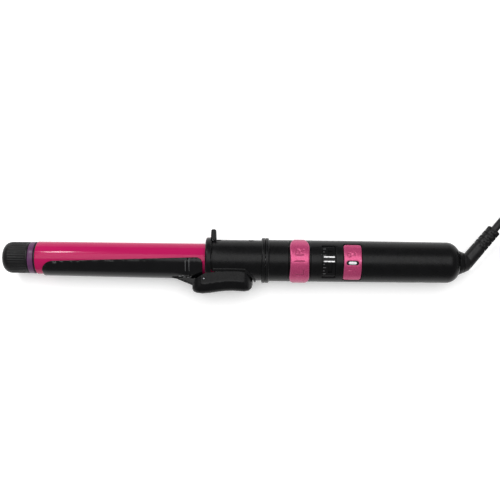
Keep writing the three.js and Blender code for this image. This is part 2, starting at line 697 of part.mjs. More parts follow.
function buildLever() {
  const side = plateAcrossZ(outline(LEVER_SIDE), -LEVER_HALF_WIDTH, LEVER_HALF_WIDTH);
  const body = side.intersect(plateAcrossY(leverPlan(-60, LEVER_CLEARANCE), -30, -5));
  const inside = plateAcrossZ(
    outline([
      [-55.8, -5],
      [-56, -22.2],
      [-54.8, -24.2],
      [-49, -25],
      [-43, -24.6],
      [-31, -22.8],
      [-17, -22.9],
      [-12.4, -21.4],
      [-11.2, -17.9],
      [-11.2, -5],
    ]),
    -LEVER_HALF_WIDTH + LEVER_WALL,
    LEVER_HALF_WIDTH - LEVER_WALL,
  ).intersect(plateAcrossY(leverPlan(-60, LEVER_CLEARANCE + LEVER_WALL), -30, -4));
  const cuts = [
    inside,
    rod([PIN_X, PIN_Y, -20], [PIN_X, PIN_Y, 20], PIN_RADIUS + GAP, 12),
    // the arm's way in through the front end
    block([-59, -54], [-23, -14], [-6.9, 6.9]),
  ];
  for (const x of RIVET_X) cuts.push(rod([x, -30, 0], [x, -20, 0], 1.3, 10));
  add(curler, "lever_pad", cutBy(body, cuts), blackSatin);

  const rivets = [["lever_rivet_front", RIVET_X[0], -25.6], ["lever_rivet_rear", RIVET_X[1], -23.9]];
  for (const [name, x, low] of rivets) {
    const rivet = joined([
      rod([x, low, 0], [x, -20.9, 0], 1, 10),
      rod([x, -21, 0], [x, -20.1, 0], 2, 12, 1.5),
    ]);
    add(curler, name, rivet, steel);
  }

  // The closing spring, a coil squeezed between the bracket's seat and the lever's floor.
  const spring = { x: -26.5, top: -7.7, bottom: -21.9, radius: 3.6, wire: 0.45, turns: 6 };
  class Helix extends THREE.Curve {
    getPoint(t) {
      const angle = 2 * Math.PI * spring.turns * t;
      const y = THREE.MathUtils.lerp(spring.bottom, spring.top, t);
      const x = spring.x + spring.radius * Math.cos(angle);
      return new THREE.Vector3(x, y, spring.radius * Math.sin(angle));
    }
  }
  const wire = new THREE.Shape();
  wire.absarc(0, 0, spring.wire, 0, 2 * Math.PI, false);
  const steps = spring.turns * 9;
  const options = { steps, extrudePath: new Helix(), bevelEnabled: false, curveSegments: 2 };
  add(curler, "clamp_spring", solid(new THREE.ExtrudeGeometry(wire, options)), steel);
}

// ---- Handle ---------------------------------------------------------------------------------------------

const FRONT_BEARING_X = [4, 9];
const REAR_BEARING_X = [22.4, 26];
const REAR_BEARING_BORE = 4.2;
const SWIVEL_FLANGE_X = [147, 149];

function buildHandleShells() {
  const dome = new THREE.CubicBezierCurve(
    new THREE.Vector2(DOME_START_X, HANDLE_RADIUS_REAR),
    new THREE.Vector2(149.6, 15.9),
    new THREE.Vector2(152.7, 12.4),
    new THREE.Vector2(HANDLE_END_X, CONE_RADIUS),
  );
  const wallEnd = SWIVEL_FLANGE_X[1] + GAP;
  const beadEnd = BEAD_WIDTH + GAP / 2;
  const whole = turned([
    [GAP / 2, HANDLE_BORE],
    [GAP / 2, BEAD_RADIUS - 0.6],
    [GAP / 2 + 0.7, BEAD_RADIUS],
    [beadEnd - 1, BEAD_RADIUS],
    [beadEnd - 0.4, BEAD_RADIUS - 0.6],
    [beadEnd, HANDLE_RADIUS],
    [60, HANDLE_RADIUS],
    ...dome.getPoints(4).map((p) => [p.x, p.y]),
    [HANDLE_END_X, NECK_RADIUS + GAP],
    [wallEnd, NECK_RADIUS + GAP],
    [wallEnd, 12],
    [144, HANDLE_BORE - 0.2],
    [GAP / 2, HANDLE_BORE],
  ]);
  const ribs = [
    tube(FRONT_BEARING_X[0] + 1, FRONT_BEARING_X[1] - 1, 8.3, HANDLE_BORE + 0.4, INNER_SIDES),
    tube(REAR_BEARING_X[0] + 0.6, REAR_BEARING_X[1] - 0.6, 7.3, HANDLE_BORE + 0.4, INNER_SIDES),
    tube(144, SWIVEL_FLANGE_X[0] - GAP, NECK_RADIUS + GAP, HANDLE_BORE + 0.2, INNER_SIDES),
  ];
  const skin = tube(-1, HANDLE_END_X + 1, 0, HANDLE_RADIUS_REAR - 0.9);
  for (const x of HANDLE_SCREW_X) {
    for (const y of [-BOSS_Y, BOSS_Y]) ribs.push(rod([x, y, -14], [x, y, 14], 3.3).intersect(skin));
  }
  const solidHandle = joined([whole, ...ribs]);

  const directionGroove = wallSector(
    [DIRECTION_X[0] - GAP, DIRECTION_X[1] + GAP],
    [DIRECTION_RADII[0] - GAP, 20],
    [DIRECTION_ANGLES[0] - DIRECTION_TRAVEL - 2, DIRECTION_ANGLES[1] + DIRECTION_TRAVEL + 2],
  );
  const rockerTray = wallSector(
    [ROCKER_X[0] - 1.8, ROCKER_X[1] + 1.8],
    [13.2, HANDLE_BORE + 0.3],
    [ROCKER_ANGLES[0] - 6, ROCKER_ANGLES[1] + 6],
  );
  const rockerOpening = wallSector(
    [ROCKER_X[0] - 0.6, ROCKER_X[1] + 0.6],
    [14.3, 20],
    [ROCKER_ANGLES[0] - 3, ROCKER_ANGLES[1] + 3],
  );
  const upperCuts = [
    directionGroove,
    wallSector([24.4, 29.1], [12, 20], [-16, 16]),
    wallSector(WINDOW_X, [12, 20], WINDOW_ANGLES),
    rockerOpening,
    wallSector([ROCKER_X[0] + 2, ROCKER_X[1] - 2], [12, 20], [-14, 22]),
  ];
  const above = block([-1, 160], [-20, 20], [GAP / 2, 20]);
  const below = block([-1, 160], [-20, 20], [-20, -GAP / 2]);
  const upper = cutBy(solidHandle.intersect(above).add(rockerTray), upperCuts);

  const lowerCuts = [directionGroove];
  for (const x of HANDLE_SCREW_X) {
    for (const y of [-BOSS_Y, BOSS_Y]) {
      lowerCuts.push(rod([x, y, -18], [x, y, -8.2], 2.1, 10));
      lowerCuts.push(rod([x, y, -10], [x, y, 2], 1.3, 6));
    }
  }
  const screwHoles = HANDLE_SCREW_X.flatMap((x) =>
    [-BOSS_Y, BOSS_Y].map((y) => rod([x, y, -1], [x, y, 7], 1.3, 6)),
  );
  add(curler, "handle_shell_upper", cutBy(upper, screwHoles), blackSatin);
  add(curler, "handle_shell_lower", cutBy(solidHandle.intersect(below), lowerCuts), blackSatin);

  HANDLE_SCREW_X.forEach((x, row) => {
    addScrew(`handle_screw_${2 * row + 1}`, [x, -BOSS_Y, -9.9], [0, 0, 1], 14);
    addScrew(`handle_screw_${2 * row + 2}`, [x, BOSS_Y, -9.9], [0, 0, 1], 14);
  });
}

function buildHandleInside() {
  const front = tube(...FRONT_BEARING_X, SPINDLE_RADIUS + GAP, 8, INNER_SIDES);
  const rear = tube(...REAR_BEARING_X, REAR_BEARING_BORE, 7, INNER_SIDES);
  add(curler, "front_bearing", front, naturalPlastic);
  add(curler, "rear_bearing", rear, naturalPlastic);

  const boardTop = 7.8;
  const board = joined([
    block([26.8, 136], [-7.4, 7.4], [6.2, boardTop]),
    block([84, 96], [-6, 6], [boardTop - 0.2, 12.2]), // relay
    block([100, 116], [-5.5, 5.5], [-4, 6.4]), // suppressor capacitor
    rod([76, 0, 6.4], [76, 0, -5], 4.5, 12), // smoothing capacitor
    block([128, 135], [-6, 6], [0, 6.4]), // cord terminal
    block([27, 31], [-3.4, 3.4], [boardTop - 0.2, 10.6]), // direction switch
    block([46, 54], [-4, 4], [boardTop - 0.2, 10.8]), // temperature switch
    block([64, 72], [-3.5, 3.5], [boardTop - 0.2, 10.6]), // power switch
  ]);
  add(curler, "control_board", board, boardGreen);

  const insert = wallSector(
    [WINDOW_X[0] + GAP, WINDOW_X[1] - GAP],
    [14.8, 15.6],
    [WINDOW_ANGLES[0] + 1.2, WINDOW_ANGLES[1] - 1.2],
  );
  const slot = wallSector([48.8, 52.2], [12, 20], [-34, 36]);
  add(curler, "window_plate", insert.subtract(slot), glossBlack);
}

// ---- Controls -------------------------------------------------------------------------------------------

function buildControls() {
  const saddle = wallSector(DIRECTION_X, DIRECTION_RADII, DIRECTION_ANGLES);
  const stem = wallSector([25, 28.5], [12.4, DIRECTION_RADII[0] + 0.4], [-5, 5]);
  add(curler, "direction_button", saddle.add(stem), pinkPearl);

  const knobRadii = [15.9, 16.6];
  const knob = joined([
    wallSector([45, 54.2], knobRadii, [KNOB_ANGLE - 9, KNOB_ANGLE + 9]),
    wallSector([45.6, 53.6], [knobRadii[1] - 0.2, 17], [KNOB_ANGLE - 7.5, KNOB_ANGLE - 4.5]),
    wallSector([45.6, 53.6], [knobRadii[1] - 0.2, 17], [KNOB_ANGLE + 4.5, KNOB_ANGLE + 7.5]),
    wallSector([49.3, 51.7], [12.3, knobRadii[0] + 0.3], [KNOB_ANGLE - 4, KNOB_ANGLE + 4]),
  ]);
  add(curler, "temperature_slider", knob, blackSatin);

  const plate = wallSector(ROCKER_X, ROCKER_RADII, ROCKER_ANGLES);
  const plunger = wallSector([66, 70.4], [11.6, ROCKER_RADII[0] + 0.4], [LENS_ANGLE - 6, LENS_ANGLE + 6]);
  const slotAngles = [LENS_ANGLE - 5.8, LENS_ANGLE + 5.8];
  const lensSlot = wallSector([63.5, 72.3], [ROCKER_RADII[1] - 0.9, 20], slotAngles);
  add(curler, "power_rocker", plate.add(plunger).subtract(lensSlot), pinkPearl);
  const lensRadii = [ROCKER_RADII[1] - 0.6, ROCKER_RADII[1] + 0.1];
  const lens = wallSector([63.8, 72], lensRadii, [LENS_ANGLE - 4.6, LENS_ANGLE + 4.6]);
  add(curler, "indicator_lens", lens, clearLens);
}

// ---- Cord swivel, strain relief, cord and plug ----------------------------------------------------------

function buildSwivel() {
  const collar = turned([
    [138, 0],
    [138, 5.6],
    [SWIVEL_FLANGE_X[0], 5.6],
    [SWIVEL_FLANGE_X[0], 10.4],
    [SWIVEL_FLANGE_X[1], 10.4],
    [SWIVEL_FLANGE_X[1], NECK_RADIUS],
    [HANDLE_END_X + GAP, NECK_RADIUS],
    [HANDLE_END_X + GAP, CONE_RADIUS - 0.3],
    [COLLAR_END_X, 8.4],
    [COLLAR_END_X, 0],
  ]);
  add(curler, "swivel_collar", collar, blackSatin);

  const reliefStart = COLLAR_END_X + GAP;
  const along = (s) => [ELBOW_X + s * Math.cos(BOOT_DIRECTION), s * Math.sin(BOOT_DIRECTION), 0];
  const root = turned(
    [[reliefStart, 0], [reliefStart, 8.2], [ELBOW_X + 1.6, 7.1], [ELBOW_X + 4, 4.4], [ELBOW_X + 4, 0]],
    24,
  );
  const boot = rod(along(-1.5), along(BOOT_LENGTH), BOOT_RADII[0], 24, BOOT_RADII[1]);
  const behindCollar = block([reliefStart, ELBOW_X + 60], [-40, 60], [-20, 20]);
  add(curler, "strain_relief", root.add(boot).intersect(behindCollar), blackRubber);
}

function cordTube(route) {
  const sides = 10;
  const section = outline(
    Array.from({ length: sides }, (_, i) => {
      const angle = (2 * Math.PI * (i + 0.5)) / sides;
      return [(CORD_DIAMETER / 2) * Math.cos(angle), (CORD_DIAMETER / 2) * Math.sin(angle)];
    }),
  );
  const path = new THREE.CatmullRomCurve3(route.map((p) => new THREE.Vector3(...p)));
  const options = { steps: 2 * (route.length - 1), extrudePath: path, bevelEnabled: false };
  return solid(new THREE.ExtrudeGeometry(section, options));
}

function buildCord() {
  add(cord, "cord_lead", cordTube(LEAD_ROUTE), blackRubber);
  add(cord, "cord_tail", cordTube(TAIL_ROUTE), blackRubber);

  const inner = COIL_TURN_RADII[0] - CORD_DIAMETER / 2;
  const outer = COIL_TURN_RADII.at(-1) + CORD_DIAMETER / 2;
  const height = COIL_LAYERS * CORD_DIAMETER;
  const round = 2;
  const profile = [
    [inner, round],
    [inner + round, 0],
    [outer - round, 0],
    [outer, round],
    [outer, height - round],
    [outer - round, height],
    [inner + round, height],
    [inner, height - round],
    [inner, round],
  ];
  const ring = new THREE.LatheGeometry(profile.map(([r, z]) => new THREE.Vector2(r, z)), SIDES);
  ring.rotateX(Math.PI / 2).translate(COIL_CENTRE[0], COIL_CENTRE[1], 0);
  add(cord, "cord_coil", solid(ring), blackRubber);
}

function buildPlug() {
  const [x, entryY] = PLUG_ENTRY;
  const reliefEnd = entryY - GAP - 16;
  const faceY = entryY - 52;
  const half = PLUG_HALF_THICKNESS;
  // The flat two-pin body: narrow where the cord enters, 35 mm wide towards its face.
  const side = outline([
    [x - 6.5, reliefEnd + 1],
    [x + 6.5, reliefEnd + 1],
    [x + 17.6, reliefEnd - 16],
    [x + 17.6, faceY + 4],
    [x + 13, faceY],
    [x - 13, faceY],
    [x - 17.6, faceY + 4],
    [x - 17.6, reliefEnd - 16],
  ]);
  const body = joined([
    plateAcrossZ(side, PLUG_AXIS_HEIGHT - half, PLUG_AXIS_HEIGHT + half),
    rod([x, entryY - GAP, PLUG_AXIS_HEIGHT], [x, reliefEnd, PLUG_AXIS_HEIGHT], 3.6, 12, 5.6),
  ]);
  const pinHoles = [];
  for (const [name, sideways] of [["plug_pin_live", -1], ["plug_pin_neutral", 1]]) {
    const pinX = x + (sideways * PLUG_PIN_SPACING) / 2;
    const at = (y) => [pinX, y, PLUG_AXIS_HEIGHT];
    pinHoles.push(rod(at(faceY + 6), at(faceY - 1), 2 + GAP, 12));
    const pin = joined([
      rod(at(faceY + 5.7), at(faceY - PLUG_PIN_LENGTH + 1.2), 2, 12),
      rod(at(faceY - PLUG_PIN_LENGTH + 1.3), at(faceY - PLUG_PIN_LENGTH), 2, 12, 1.2),
    ]);
    add(cord, name, pin, steel);
  }
  add(cord, "plug_body", cutBy(body, pinHoles), blackMatte);
}

// ---- The whole curler -----------------------------------------------------------------------------------

buildTip();
buildBarrel();
buildHeater();
buildBarrelBush();
buildHeadSleeve();
buildSleeveCarrier();
buildHingeBracket();
buildSpindle();
buildSlipRings();
buildDrive();
buildClampPlate();
buildLever();
buildHandleShells();
buildHandleInside();
buildControls();
buildSwivel();
buildCord();
buildPlug();

// The origin goes to the bottom centre of the curler without its cord.
curler.position.z = AXIS_HEIGHT;
const extent = new THREE.Box3().setFromObject(curler, true);
const centre = extent.getCenter(new THREE.Vector3());

const hairCurler = new THREE.Group();
hairCurler.add(curler, cord);
curler.position.x = -centre.x;
curler.position.y = -centre.y;
cord.position.x = -centre.x;
cord.position.y = -centre.y;

export default hairCurler;
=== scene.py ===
import json
import math

import bmesh
import bpy
import numpy as np
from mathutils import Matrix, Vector
from mathutils.geometry import delaunay_2d_cdt


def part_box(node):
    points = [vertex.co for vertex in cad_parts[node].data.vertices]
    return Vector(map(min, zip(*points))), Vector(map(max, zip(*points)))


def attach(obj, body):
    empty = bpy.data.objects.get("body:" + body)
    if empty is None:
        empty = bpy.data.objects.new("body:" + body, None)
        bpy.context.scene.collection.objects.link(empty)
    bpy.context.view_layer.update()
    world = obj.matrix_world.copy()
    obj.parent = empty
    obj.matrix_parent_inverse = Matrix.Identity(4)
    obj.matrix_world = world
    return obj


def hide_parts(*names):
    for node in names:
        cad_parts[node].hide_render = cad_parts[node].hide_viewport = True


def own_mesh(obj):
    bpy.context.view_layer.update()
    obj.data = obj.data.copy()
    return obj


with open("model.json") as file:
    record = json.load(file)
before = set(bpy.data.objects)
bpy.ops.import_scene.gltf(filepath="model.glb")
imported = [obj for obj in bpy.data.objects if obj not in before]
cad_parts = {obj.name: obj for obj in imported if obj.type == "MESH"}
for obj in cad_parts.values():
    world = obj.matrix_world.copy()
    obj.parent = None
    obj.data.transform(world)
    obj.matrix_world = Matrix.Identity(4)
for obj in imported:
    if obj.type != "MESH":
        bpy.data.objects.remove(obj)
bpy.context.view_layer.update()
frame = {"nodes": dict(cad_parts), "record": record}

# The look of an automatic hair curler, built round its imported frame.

# ---- Places ---------------------------------------------------------------------------------------------
# Millimetres. x runs along the barrel from the joint between head and handle, towards the cord.
# y and z are measured from the barrel's axis, and angles round it are 0 at +z and positive towards -y.

MM = 0.001
barrel_low, barrel_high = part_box("barrel_tube")
AXIS_Y = (barrel_low.y + barrel_high.y) / 2
AXIS_Z = (barrel_low.z + barrel_high.z) / 2
HANDLE_START = 0.15  # the handle begins this far behind the joint
JOINT_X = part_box("handle_shell_upper")[0].x - HANDLE_START * MM


def at(x, y, z):
    return Vector((JOINT_X + x * MM, AXIS_Y + y * MM, AXIS_Z + z * MM))


def around(x, angle, radius):
    a = math.radians(angle)
    return at(x, -radius * math.sin(a), radius * math.cos(a))


def on_table(x, y, height):
    return Vector((JOINT_X + x * MM, AXIS_Y + y * MM, height * MM))


def linked(name, data):
    """A new object of the given data, in the scene."""
    made = bpy.data.objects.new(name, data)
    bpy.context.scene.collection.objects.link(made)
    return made


# ---- Camera ---------------------------------------------------------------------------------------------

CAMERA_PLACE = (-12.1, 8.2, 555.6)  # straight above the controls' side, looking down
CAMERA_ROLL = 0.71

camera = linked("camera", bpy.data.cameras.new("camera"))
camera.data.lens = 50
camera.data.sensor_width = 36
camera.location = at(*CAMERA_PLACE)
camera.rotation_euler = (0, 0, math.radians(CAMERA_ROLL))
camera.data.clip_start = 0.01
bpy.context.scene.camera = camera

# ---- Materials ------------------------------------------------------------------------------------------


class Shader:
    """A node material with one Principled shader."""

    def __init__(self, name, colour, roughness, **values):
        self.material = bpy.data.materials.new(name)
        self.material.use_nodes = True
        self.tree = self.material.node_tree
        self.shader = self.tree.nodes["Principled BSDF"]
        self.shader.inputs["Base Color"].default_value = (*colour, 1)
        self.shader.inputs["Roughness"].default_value = roughness
        for key, value in values.items():
            self.shader.inputs[key.replace("_", " ")].default_value = value
        self.place = self.node("ShaderNodeTexCoord").outputs["Object"]
        self.normal = None

    def node(self, kind, inputs=None, **facts):
        node = self.tree.nodes.new(kind)
        for key, value in facts.items():
            setattr(node, key, value)
        for key, value in (inputs or {}).items():
            if isinstance(value, bpy.types.NodeSocket):
                self.tree.links.new(value, node.inputs[key])
            else:
                node.inputs[key].default_value = value
        return node

    def noise(self, scale, detail=2.0, stretch=(1, 1, 1)):
        """Noise with features of about 1/scale metres, drawn out along an axis by a small stretch."""
        spread = self.node("ShaderNodeMapping", {"Vector": self.place, "Scale": stretch})
        inputs = {"Vector": spread.outputs[0], "Scale": scale, "Detail": detail}
        return self.node("ShaderNodeTexNoise", inputs).outputs["Fac"]

    def ramp(self, value, low, high, start=0.3, end=0.7):
        """A number that goes from low to high as value goes from start to end."""
        inputs = {"Value": value, "From Min": start, "From Max": end, "To Min": low, "To Max": high}
        return self.node("ShaderNodeMapRange", inputs).outputs[0]

    def blend(self, share, first, second):
        """The base colour goes from first to second as share goes from 0 to 1."""
        mix = self.node("ShaderNodeMix", {0: share, 6: first, 7: (*second, 1)}, data_type="RGBA")
        self.tree.links.new(mix.outputs[2], self.shader.inputs["Base Color"])
        return self

    def colours(self, value, first, second, start=0.3, end=0.7):
        """The base colour goes from first to second as value goes from start to end."""
        return self.blend(self.ramp(value, 0.0, 1.0, start, end), (*first, 1), second)

    def roughness(self, value, low, high):
        self.tree.links.new(self.ramp(value, low, high), self.shader.inputs["Roughness"])

    def bump(self, height, depth, strength):
        """Relief of the given depth in metres, over what was there before."""
        inputs = {"Height": height, "Strength": strength, "Distance": depth}
        if self.normal:
            inputs["Normal"] = self.normal
        self.normal = self.node("ShaderNodeBump", inputs).outputs[0]
        self.tree.links.new(self.normal, self.shader.inputs["Normal"])

    def by_pointiness(self, colour, low, high, start, end):
        """Mixes a colour into the base colour by how much the surface juts out."""
        jutting = self.node("ShaderNodeNewGeometry").outputs["Pointiness"]
        share = self.ramp(jutting, low, high, start, end)
        return self.blend(share, self.shader.inputs["Base Color"].links[0].from_socket, colour)

    def edges(self, gain, colour):
        """Lighter edges: wear from handling, and on the pearl pink parts a painted highlight along the bevels."""
        return self.by_pointiness(colour, 0.0, gain, 0.52, 0.6)

    def shaded_hollows(self, gain, colour):
        """Painted shade: darker colour in the engraved strokes and inner corners."""
        return self.by_pointiness(colour, gain, 0.0, 0.44, 0.496)


def moulded(name, dark, light, roughness, grain=0.00002, scale=5200, **values):
    """Moulded plastic or rubber: fine spark-eroded grain, cloudy tone and a few smoother patches."""
    made = Shader(name, dark, roughness, **values)
    made.colours(made.noise(140, 3), dark, light)
    made.roughness(made.noise(420, 4), roughness - 0.05, roughness + 0.06)
    made.bump(made.noise(scale, 2), grain, 0.35)
    return made


def metal(name, colour, roughness):
    """Bare metal with marks drawn out along x."""
    made = Shader(name, colour, roughness, Metallic=1.0)
    dull = tuple(0.82 * c for c in colour)
    made.colours(made.noise(260, 3), dull, colour)
    drawn = made.noise(5200, 3, (0.06, 1, 1))
    made.roughness(drawn, roughness - 0.07, roughness + 0.09)
    made.bump(drawn, 0.000006, 0.4)
    return made


BLACK = (0.0016, 0.0016, 0.0019)
BLACK_LIGHT = (0.003, 0.003, 0.0034)
RUBBED = (0.03, 0.03, 0.032)

finishes = {
    "black_satin_plastic": moulded(
        "black_satin", BLACK, BLACK_LIGHT, 0.3, Specular_IOR_Level=0.13
    ).edges(0.5, RUBBED),
    "black_matte_plastic": moulded(
        "black_matte", (0.003, 0.0031, 0.0034), (0.005, 0.0051, 0.0055), 0.42, 0.00003, 3800,
        Specular_IOR_Level=0.17,
    ).edges(0.5, RUBBED),
    "black_rubber": moulded(
        "black_rubber", (0.0026, 0.0026, 0.003), (0.0045, 0.0045, 0.005), 0.4, 0.00003, 3000,
        Specular_IOR_Level=0.2,
    ).edges(0.4, RUBBED),
    "steel_bright": metal("steel", (0.42, 0.425, 0.44), 0.28),
    "steel_blackened": moulded(
        "blackened_steel", (0.004, 0.004, 0.0045), (0.009, 0.009, 0.0095), 0.4, Specular_IOR_Level=0.2
    ).edges(0.5, RUBBED),
    "aluminium_raw": metal("aluminium", (0.68, 0.69, 0.7), 0.36),
    "brass_bare": metal("brass", (0.72, 0.5, 0.2), 0.28),
    "plated_brass": metal("nickel_plate", (0.66, 0.65, 0.61), 0.2),
    "carbon_brush": moulded("carbon", (0.02, 0.02, 0.021), (0.05, 0.05, 0.052), 0.5),
    "natural_plastic": moulded("natural_plastic", (0.66, 0.6, 0.47), (0.76, 0.71, 0.6), 0.42),
    "heater_ceramic": moulded("ceramic", (0.7, 0.64, 0.54), (0.82, 0.77, 0.69), 0.55),
    "board": moulded("circuit_board", (0.02, 0.13, 0.05), (0.04, 0.2, 0.08), 0.35),
    "lead_sleeve": moulded("woven_sleeve", (0.6, 0.56, 0.46), (0.8, 0.77, 0.68), 0.8, 0.0001, 1500),
}


def barrel_finish():
    """Hot pink ceramic coat: a glossy skin over drawn tube."""
    made = Shader("barrel_pink", (0.38, 0.0055, 0.077), 0.12, Specular_IOR_Level=0.15)
    made.colours(made.noise(90, 3, (0.25, 1, 1)), (0.365, 0.005, 0.074), (0.4, 0.006, 0.081))
    drawn = made.noise(2600, 3, (0.04, 1, 1))
    made.roughness(drawn, 0.09, 0.15)
    made.bump(drawn, 0.0000003, 0.3)
    return made


def pearl_finish():
    """Pearlescent pink plastic: fine bright flakes under a smooth skin."""
    made = Shader("pearl_pink", (0.4, 0.038, 0.13), 0.3, Metallic=0.4, Specular_IOR_Level=0.6)
    flakes = made.node(
        "ShaderNodeTexVoronoi", {"Vector": made.place, "Scale": 2600.0}, feature="F1"
    ).outputs["Color"]
    tone = made.node("ShaderNodeSeparateColor", {0: flakes}).outputs[0]
    made.colours(tone, (0.35, 0.026, 0.11), (0.46, 0.052, 0.155), 0.1, 0.95)
    made.roughness(made.noise(900, 3), 0.26, 0.4)
    made.bump(made.noise(1800, 3), 0.000005, 0.3)
    # Painted highlight: the light pink along the bevelled edges stands in for the light they catch.
    made.edges(0.5, (0.85, 0.3, 0.5))
    # Painted shade in the engraved marks and inner corners.
    made.shaded_hollows(0.8, (0.12, 0.01, 0.04))
    return made


def clear_purple_finish():
    made = Shader("clear_purple", (0.085, 0.026, 0.078), 0.32, Specular_IOR_Level=0.2)
    made.colours(made.noise(160, 2), (0.07, 0.02, 0.066), (0.1, 0.032, 0.092))
    made.bump(made.noise(700, 2), 0.000002, 0.3)
    return made


def gloss_black_finish(name, roughness, drawn):
    made = Shader(name, (0.0022, 0.0022, 0.0027), roughness, Specular_IOR_Level=0.17)
    made.colours(made.noise(120, 3), (0.0018, 0.0019, 0.0022), (0.003, 0.003, 0.0035))
    marks = made.noise(1500, 3, drawn)
    made.roughness(marks, roughness - 0.03, roughness + 0.05)
    made.bump(marks, 0.0000012, 0.3)
    return made


def lens_finish():
    made = Shader("clear_lens", (0.85, 0.86, 0.88), 0.12, Transmission_Weight=0.3, Coat_Weight=0.6)
    made.colours(made.noise(600, 2), (0.78, 0.79, 0.82), (0.93, 0.93, 0.95))
    made.bump(made.noise(1200, 2, (1, 0.3, 0.3)), 0.00002, 0.4)
    return made


finishes["barrel_pink"] = barrel_finish()
finishes["pearl_pink_plastic"] = pearl_finish()
finishes["purple_clear_plastic"] = clear_purple_finish()
finishes["clamp_gloss_black"] = gloss_black_finish("clamp_black", 0.2, (0.1, 1, 1))
finishes["window_gloss_black"] = gloss_black_finish("window_black", 0.14, (1, 1, 1))
finishes["lens_clear"] = lens_finish()
# White for the slider's ridge tops: a painted highlight where they catch the light.
ridge_painted_highlight = moulded("ridge_painted_highlight", (0.75, 0.75, 0.76), (0.86, 0.86, 0.87), 0.3)
print_grey = moulded("print_grey", (0.05, 0.05, 0.053), (0.09, 0.09, 0.094), 0.4)

node_slots = {p["node"]: p["material_slot"] for p in frame["record"]["subparts"]}
node_slots["hinge_bracket"] = "steel_blackened"  # it shows past the lever in a dark gap, and its blackened finish is painted shade there
for node_name, node_object in frame["nodes"].items():
    finish_of_node = finishes[node_slots[node_name]].material
    node_object.data.materials.clear()
    node_object.data.materials.append(finish_of_node)

# ---- Mesh helpers ---------------------------------------------------------------------------------------


def clean_mesh(name, solid):
    """A mesh of a solid's (points, faces), with double points merged and all faces turned outwards."""
    mesh = bpy.data.meshes.new(name)
    mesh.from_pydata([tuple(p) for p in solid[0]], [], solid[1])
    tidy = bmesh.new()
    tidy.from_mesh(mesh)
    bmesh.ops.remove_doubles(tidy, verts=tidy.verts, dist=1e-7)
    bmesh.ops.recalc_face_normals(tidy, faces=tidy.faces)
    tidy.to_mesh(mesh)
    tidy.free()
    return mesh


def piece(name, solid, body, slot=None, replaces=(), sharp=38, finish=None):
    """A mesh piece that rides on a body. Edges sharper than sharp degrees stay crisp."""
    mesh = clean_mesh(name, solid)
    made = linked(name, mesh)
    mesh.shade_smooth()
    mesh.set_sharp_from_angle(angle=math.radians(sharp))
    mesh.materials.append((finish or finishes[slot]).material)
    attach(made, body)
    if replaces:
        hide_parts(*replaces)
    return made


def ring_of(u, v, radius, other_radius=None, count=24):
    """The corners of a round or oval outline."""
    angles = [math.radians(360 * k / count) for k in range(count)]
    return [(u + radius * math.cos(a), v + (other_radius or radius) * math.sin(a)) for a in angles]


def level(top):
    """Lays a sheet flat, with its front at the height top."""
    def place(u, v, depth):
        return at(u, v, top - depth)
    return place


def rounded(points, closed=False, steps=4):
    """A line of (u, v) or (u, v, radius) points with its corners rounded to those radii."""
    made = []
    for i, point in enumerate(points):
        corner = Vector(point[:2])
        radius = point[2] if len(point) > 2 else 0
        if not radius or (not closed and i in (0, len(points) - 1)):
            made.append(tuple(corner))
            continue
        before = Vector(points[i - 1][:2]) - corner
        after = Vector(points[(i + 1) % len(points)][:2]) - corner
        half = before.angle(after) / 2
        reach = min(radius / math.tan(half), 0.49 * before.length, 0.49 * after.length)
        middle = (before.normalized() + after.normalized()).normalized()
        centre = corner + middle * (reach / math.cos(half))
        start = corner + before.normalized() * reach - centre
        end = corner + after.normalized() * reach - centre
        turn = math.atan2(start.cross(end), start.dot(end))
        for k in range(steps + 1):
            a = turn * k / steps
            u = centre.x + start.x * math.cos(a) - start.y * math.sin(a)
            v = centre.y + start.x * math.sin(a) + start.y * math.cos(a)
            made.append((u, v))
    return made


def lathe(profile, sides=96, radius_of=None, place=around):
    """(points, faces) of a profile of (x, radius) turned round the axis.

    A closed profile ends where it starts. radius_of(x, angle, radius) may change the radius.
    """
    closed = profile[0] == profile[-1]
    rows = profile[:-1] if closed else profile
    points, rings, faces = [], [], []
    for x, r in rows:
        if r < 1e-6:
            rings.append([len(points)] * sides)
            points.append(place(x, 0, 0))
            continue
        rings.append(list(range(len(points), len(points) + sides)))
        for i in range(sides):
            angle = 360 * i / sides
            points.append(place(x, angle, radius_of(x, angle, r) if radius_of else r))
    pairs = list(zip(rings, rings[1:])) + ([(rings[-1], rings[0])] if closed else [])
    for first, second in pairs:
        for i in range(sides):
            j = (i + 1) % sides
            corner = []
            for k in (first[i], first[j], second[j], second[i]):
                if k not in corner:
                    corner.append(k)
            if len(corner) > 2:
                faces.append(corner)
    return points, faces


def merged(*solids):
    points, faces = [], []
    for more_points, more_faces in solids:
        start = len(points)
        points += list(more_points)
        faces += [[start + i for i in face] for face in more_faces]
    return points, faces


def resampled(line, spacing, closed=True):
    """The same line with no stretch longer than spacing."""
    made = []
    ends = line[1:] + line[:1] if closed else line[1:]
    for (u0, v0), (u1, v1) in zip(line, ends):
        count = max(1, math.ceil(math.hypot(u1 - u0, v1 - v0) / spacing))
        made += [(u0 + (u1 - u0) * k / count, v0 + (v1 - v0) * k / count) for k in range(count)]
    return made if closed else made + [line[-1]]


def turned_left(line):
    area = sum(a[0] * b[1] - b[0] * a[1] for a, b in zip(line, line[1:] + line[:1]))
    return line if area > 0 else line[::-1]


def inset(line, distance):
    """A closed left-turning line moved inwards."""
    p = np.array(line)
    along = np.roll(p, -1, 0) - p
    along /= np.linalg.norm(along, axis=1)[:, None]
    inward = np.stack([-along[:, 1], along[:, 0]], 1)
    before = np.roll(inward, 1, 0)
    mitre = inward + before
    mitre /= np.maximum(np.linalg.norm(mitre, axis=1)[:, None], 1e-9)
    stretch = 1 / np.maximum((mitre * inward).sum(1), 0.6)
    return p + mitre * stretch[:, None] * distance


